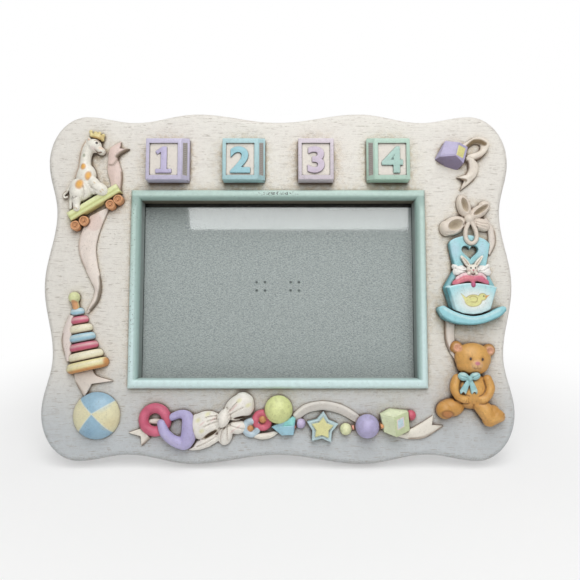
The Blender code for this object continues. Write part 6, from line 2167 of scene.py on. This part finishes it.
@dataclass
class ColourBoard:
    """All the toys and ribbons of the four rails, in the order they are made."""

    blocks: tuple[ToyBlock, ...] = (
        ToyBlock(1, -60.5, 1, (196, 190, 212), Numeral.ONE, (190, 182, 212), "lilac"),
        ToyBlock(2, -20, 1, (170, 204, 208), Numeral.TWO, (154, 202, 212), "powder_blue"),
        ToyBlock(3, 20.1, 0, (208, 198, 206), Numeral.THREE, (206, 192, 208), "pale_pink"),
        ToyBlock(4, 60.4, -1, (178, 206, 190), Numeral.FOUR, (172, 204, 194), "pale_green")
    )
    left_ribbons: tuple[RibbonStretch, ...] = (
        RibbonStretch(
            "ribbon_by_giraffe", "ribbon_giraffe",
            (
                ((15.4, 79.4), (20, 75.2)), ((9.6, 75.4, 1.6), (14, 71, 2.2)),
                ((8.6, 67.9, 1.6), (14.7, 66.8)), ((8.5, 62.6), (16.1, 62)),
                ((10, 57.2), (16.1, 57.2)), ((10.5, 50), (15.5, 51))
            ), forks=(3.6, 0), paint=BLUSH, offset=(-100, 0),
            marks=(
                # Painted shade under the fork and along the ribbon's edges.
                (((13.6, 70.8), (16.6, 73.4), (19.6, 75)), 1.8, (128, 112, 94)),
                (((9.4, 66.4), (11.6, 66.4), (14.2, 69.6)), 0.8, RIBBON_EDGE_SHADE),
                (((15.9, 62.4), (16, 58), (15.4, 51)), 0.7, RIBBON_EDGE_SHADE),
                (((15.6, 78.4), (16.8, 77)), 0.7, RIBBON_EDGE_SHADE)
            )
        ),
        RibbonStretch(
            "ribbon_under_cart", "ribbon_streamer",
            (
                ((-0.2, 38.6), (9.8, 43.4)), ((-3.6, 32.4), (6, 33.5)), ((-6, 24), (4, 27)),
                ((-5, 17), (3.2, 20)), ((-2, 10), (4.4, 12)), ((0.9, 4), (6, 5)),
                ((3.2, -1), (6.6, -1)), ((2.2, -6), (5.4, -6.4)), ((0.7, -9.7), (2.8, -10.4)),
                ((-0.6, -13), (-0.2, -13.4))
            ), paint=(236, 224, 214), offset=(-100, 0),
            marks=(
                (((0, 39), (2, 35)), 9, (228, 208, 198)),
                # Painted shade along the right edge at the lower end and down the left edge.
                (((6.4, 6), (6.8, 2), (6.4, -2), (5.2, -7), (2, -11.6)), 2.2, (134, 122, 108)),
                (((-5, 30), (-5.8, 24), (-4.6, 17), (-1.6, 10)), 0.6, (196, 172, 156))
            )
        ),
        RibbonStretch(
            "ribbon_by_stacker", "ribbon_stacker",
            (
                ((-9.9, -14.2), (-7.2, -14.6)), ((-12.6, -22), (-7.6, -22)),
                ((-13.3, -28), (-7.8, -28)), ((-12, -34), (-7.8, -34)),
                ((-10.4, -38.6), (-8.2, -38.4))
            ), paint=(232, 219, 211), offset=(-100, 0),
            marks=((((-12.8, -24), (-13, -29), (-11.6, -35)), 0.8, RIBBON_EDGE_SHADE),)
        ),
        RibbonStretch(
            "ribbon_above_ball", "ribbon_tail",
            (((-6.4, -44.4), (3, -42.4)), ((-5, -50), (5.4, -46)), ((-0.5, -57), (14, -48.6))),
            forks=(0, 4.6), offset=(-100, 0),
            marks=(
                (((-5.2, -49.6), (-1, -56.6)), 0.7, RIBBON_EDGE_SHADE),
                (((0.4, -56.6), (6, -50.6)), 0.7, RIBBON_EDGE_SHADE)
            )
        )
    )
    right_ribbons: tuple[RibbonStretch, ...] = (
        RibbonStretch("ribbon_by_cradle", "ribbon_cradle", (
            ((8.6, 36.5), (11, 37.5)), ((11.6, 30.5), (15.2, 30.8)), ((11.8, 24.4), (15.6, 24)),
            ((9.8, 18.8), (12.6, 17.6)),
        ), offset=(100, 0), marks=((((15, 30.6), (15.4, 24.2), (12.8, 18)), 0.8, RIBBON_EDGE_SHADE),)),
        RibbonStretch("ribbon_above_bear", "ribbon_bear", (
            ((-12, -17), (-7, -17)), ((-12.2, -27), (-7.4, -27)),
            ((-10, -33.4), (-5.8, -32.4)), ((-7.6, -37), (-4.6, -35.6)),
        ), offset=(100, 0), marks=((((-12, -18), (-12, -27), (-9.8, -33.2)), 0.8, RIBBON_EDGE_SHADE),)),
    )
    bottom_ribbons: tuple[RibbonStretch, ...] = (
        RibbonStretch("ribbon_by_rings", "ribbon_rings", (
            ((-77.4, -5.2), (-70.4, -12)), ((-69.5, -2.5), (-66, -8)),
        ), forks=(3.6, 0), paint=IVORY, offset=(0, -70), marks=(
            (((-70.4, -11.6), (-66.4, -7.8)), 0.8, RIBBON_EDGE_SHADE),)),
        RibbonStretch("ribbon_in_ring", None, (
            ((-67.6, 1.4), (-67.4, -1)), ((-63.6, 2), (-63.4, -0.6)),
            ((-59.8, 1.6), (-59.8, -1)),
        ), crest=1.4, edge=1, paint=IVORY, offset=(0, -70)),
        RibbonStretch("garland_arc", "bead_garland", (
            ((7.6, 4), (9.6, -0.4)), ((13.5, 9), (14.8, 4.4)), ((23, 11), (23, 6.2)),
            ((33, 9.2), (31.6, 4.6)), ((40.5, 5), (38.6, 1)), ((44, 1.4), (42.2, -1.2)),
        ), crest=1.4, edge=1.1, paint=(206, 200, 192), offset=(0, -70), marks=(
            # Painted highlight along the garland's top edge.
            (((8.6, 3.6), (14, 8.2), (23, 10.2), (33, 8.4), (40, 4.4)), 0.9, (232, 226, 218)),
        )),
        RibbonStretch("ribbon_by_cube", "ribbon_cube", (
            ((58, -3.6), (60, -6.6)), ((66, -4.2), (68, -8.4)), ((73.6, -0.8), (76.4, -7.6)),
            ((80.6, 3.6), (86, -1.6)),
        ), forks=(0, 4.2), paint=IVORY, offset=(0, -70), marks=(
            (((68, -8), (76.2, -7.2), (85.4, -1.8)), 0.8, RIBBON_EDGE_SHADE),)),
    )
    facets: tuple[Faceted, ...] = (
        Faceted("aqua_brick_cast", "aqua_brick", "powder_blue", (162, 204, 220), (
            (-3.2, -2, 0), (3, 1.6, 0), (7.5, 3.5, 0), (9.6, 2.5, 0), (8.2, -1, 0),
            (8.4, -6.2, 0), (2, -6.4, 0), (-3.2, -2, 3.2), (3, 1.4, 4.6), (7.4, 3.3, 3.6),
            (9.2, 2.3, 3.2), (7.9, -1, 4.6), (8.2, -6, 3.8), (2.1, -6.2, 3.8),
        ), (0, -70), areas=(
            (((2.2, -71.6), (5, -67.6), (7.6, -66.2), (9.8, -67.4), (8.2, -71.2)), (146, 216, 212)),
        ), lines=(((-2.6, -72.4), (2.6, -71.4), (8, -71.2)),)),
        Faceted("green_cube_cast", "green_cube", "pale_green", (200, 210, 168), (
            (52.8, 4.6, 0), (58, 7.4, 0), (67.4, 6.4, 0), (68, -3.8, 0), (61.6, -7, 0),
            (54.4, -4.6, 0), (52.8, 4.4, 4.6), (58.4, 6.8, 3.8), (67.2, 6, 4.4),
            (67.8, -3.6, 4.6), (59.6, 3.4, 7.2), (60.8, -6.8, 6.2), (54.6, -4.4, 4.6),
        ), (0, -70), areas=(
            # Painted highlight on the top and left faces; then the pink and blue squares.
            (((52.8, -65.4), (58.2, -62.8), (67.4, -63.8), (59.6, -66.7)), (226, 232, 196)),
            (((59.3, -66.8), (60.6, -77), (54.4, -74.6), (52.6, -65.6)), (212, 220, 184)),
            (((60.9, -68), (64.6, -66.4), (64.9, -71.4), (61.2, -73.2)), (232, 214, 214)),
            (((61.3, -68.4), (64.2, -67.1), (64.5, -71), (61.6, -72.5)), (196, 218, 226)),
        ), lines=(((59.6, -66.6), (60.8, -76.6)), ((53, -65.6), (59.6, -66.6), (67.2, -64)))),
    )
    beads: tuple[Bead, ...] = (
        Bead(
            "green_ball_cast", "yellow_green", (214, 220, 152), (0.5, -63.1), 7.3, 8.4, "green_ball"
        ), Bead("lilac_bead_cast", "lilac", (192, 178, 210), (11.9, -70.4), 2.6, 3.6, "lilac_bead"),
        Bead(
            "yellow_bead_cast", "butter_yellow", (224, 226, 180), (35.2, -73.2), 3.1, 4.8,
            "yellow_bead"
        ), Bead("lilac_ball_cast", "lilac", (176, 168, 205), (46.2, -71.6), 6.2, 9, "lilac_ball"),
        Bead("orange_bead", "apricot", (224, 158, 104), (53.5, -71.5), 1.5, 5.8),
        Bead("rose_bead", "rose_pink", (200, 86, 106), (69, -66.2), 2.7, 4),
        Bead("peach_bead_1", "apricot", (228, 160, 140), (39, -72.5), 1.2, 2.6),
        Bead("peach_bead_2", "apricot", (220, 138, 130), (8.4, -71.8), 1.2, 2.6),
        Bead("peach_bead_3", "apricot", (220, 140, 140), (50.9, -75.6), 0.8, 2)
    )

    def build(self, shop: Workshop) -> None:
        """Makes everything on the rails."""
        everything: list[Any] = [
            *self.blocks, *self.left_ribbons, Giraffe(), StackingToy(), BeachBall(),
            RattleOnRibbon(), CradleBow(), Cradle(), Bear(), *self.right_ribbons,
            *self.bottom_ribbons, RingsAndLink(), BigBow(), *self.facets, Star(), *self.beads
        ]
        for toy in everything:
            toy.build(shop)


# The studio


@dataclass
class Studio:
    """A pale sweep, one broad soft lamp, pale air and the camera over the face."""

    floor_half: float = 4.0
    backdrop: Colour = (250, 250, 249)
    lamp_at: tuple[float, float, float] = (60.0, 510.0, 580.0)
    lamp_size: Span = (0.5, 0.84)
    lamp_watts: float = 5.6
    air: float = 0.2
    camera_at: tuple[float, float, float] = (6.36, -28.89, 323.65)
    tilt: float = 53 / 613
    lens: float = 36 * 613 / 580
    bend_at: float = 1.4
    bend: float = 0.8
    sweep_top: Span = (2.2, 3.5)

    def build(self) -> None:
        """Sets the floor, lamp, air and camera."""
        self._sweep()
        self._lamp()
        self._air()
        self._camera()

    def _sweep(self) -> None:
        """A plain floor that keeps the frame's shadow, turns white further off and sweeps up."""
        form = bmesh.new()
        run = [(-self.floor_half, 0.0), (self.bend_at, 0.0)]
        for k in range(1, 13):
            turn = math.pi / 2 * k / 12
            back, up = self.bend * math.sin(turn), self.bend * (1 - math.cos(turn))
            run.append((self.bend_at + back, up))
        verts = [form.verts.new((-self.floor_half, y, z)) for y, z in run + [self.sweep_top]]
        edges = [form.edges.new(pair) for pair in zip(verts, verts[1:])]
        across = bmesh.ops.extrude_edge_only(form, edges=edges)["geom"]
        bmesh.ops.translate(form, verts=verts_in(across), vec=(2 * self.floor_half, 0, 0))
        mesh = mesh_of(form)
        mesh.shade_smooth()
        material = bpy.data.materials.new("pale_sweep")
        material.use_nodes = True
        wiring = Wiring(material.node_tree)
        shader = material.node_tree.nodes["Principled BSDF"]
        shader.inputs["Base Color"].default_value = srgb(self.backdrop)
        shader.inputs["Roughness"].default_value = 0.9
        rays = wiring.node("LightPath").outputs
        seen = wiring.math("MAXIMUM", rays["Is Camera Ray"], rays["Is Transmission Ray"])
        seen = wiring.math("MAXIMUM", seen, rays["Is Glossy Ray"])
        place = wiring.node("TexCoord").outputs["Object"]
        away = wiring.node("VectorMath", operation="LENGTH", in_0=place).outputs["Value"]
        far = wiring.plus(wiring.times(wiring.steps(away, 0.08, 0.3), 0.55), 0.45)
        white = wiring.node("Emission", in_Strength=1.0).outputs[0]
        both = wiring.node(
            "MixShader", in_0=wiring.times(seen, far), in_1=shader.outputs[0], in_2=white
        )
        wiring.feed(both.outputs[0], material.node_tree.nodes["Material Output"].inputs["Surface"])
        mesh.materials.append(material)
        placed("sweep", mesh)

    def _lamp(self) -> None:
        """A broad soft lamp over the top edge, aimed at the window."""
        light = bpy.data.lights.new("softbox", "AREA")
        light.shape = "RECTANGLE"
        light.size, light.size_y = self.lamp_size
        light.energy = self.lamp_watts
        lamp = placed("softbox", light)
        place = Matrix.Translation(STAND.matrix() @ Vector(self.lamp_at))
        fall = -math.atan2(self.lamp_at[1], self.lamp_at[2])
        lamp.matrix_world = place @ STAND.turn() @ Matrix.Rotation(fall, 4, "X")

    def _air(self) -> None:
        """Even pale light from all round, seen as white."""
        world = bpy.data.worlds.new("studio_air")
        world.use_nodes = True
        bpy.context.scene.world = world
        wiring = Wiring(world.node_tree)
        sky = world.node_tree.nodes["Background"]
        sky.inputs["Color"].default_value = (0.97, 0.98, 1.0, 1.0)
        seen = wiring.node("LightPath").outputs["Is Camera Ray"]
        lift = wiring.times(seen, 1.0 - self.air)
        wiring.feed(wiring.plus(lift, self.air), sky.inputs["Strength"])

    def _camera(self) -> None:
        """The camera, at the photograph's place over the face."""
        data = bpy.data.cameras.new("camera")
        data.sensor_width = 36.0
        data.lens = self.lens
        data.clip_start, data.clip_end = 0.02, 50.0
        camera = placed("camera", data)
        place = Matrix.Translation(STAND.matrix() @ Vector(self.camera_at))
        camera.matrix_world = place @ STAND.turn() @ Matrix.Rotation(math.atan(self.tilt), 4, "X")
        bpy.context.scene.camera = camera
        bpy.context.scene.view_settings.view_transform = "Standard"


def main() -> None:
    """Builds the frame's looks and its studio."""
    logging.basicConfig(level=logging.INFO, format="%(message)s")
    shop = Workshop()
    for part in (CastBody(), WindowMoulding(), PanelAndGlass(), Fixings(), ColourBoard()):
        part.build(shop)
    Studio().build()


if __name__ == "__main__":
    main()
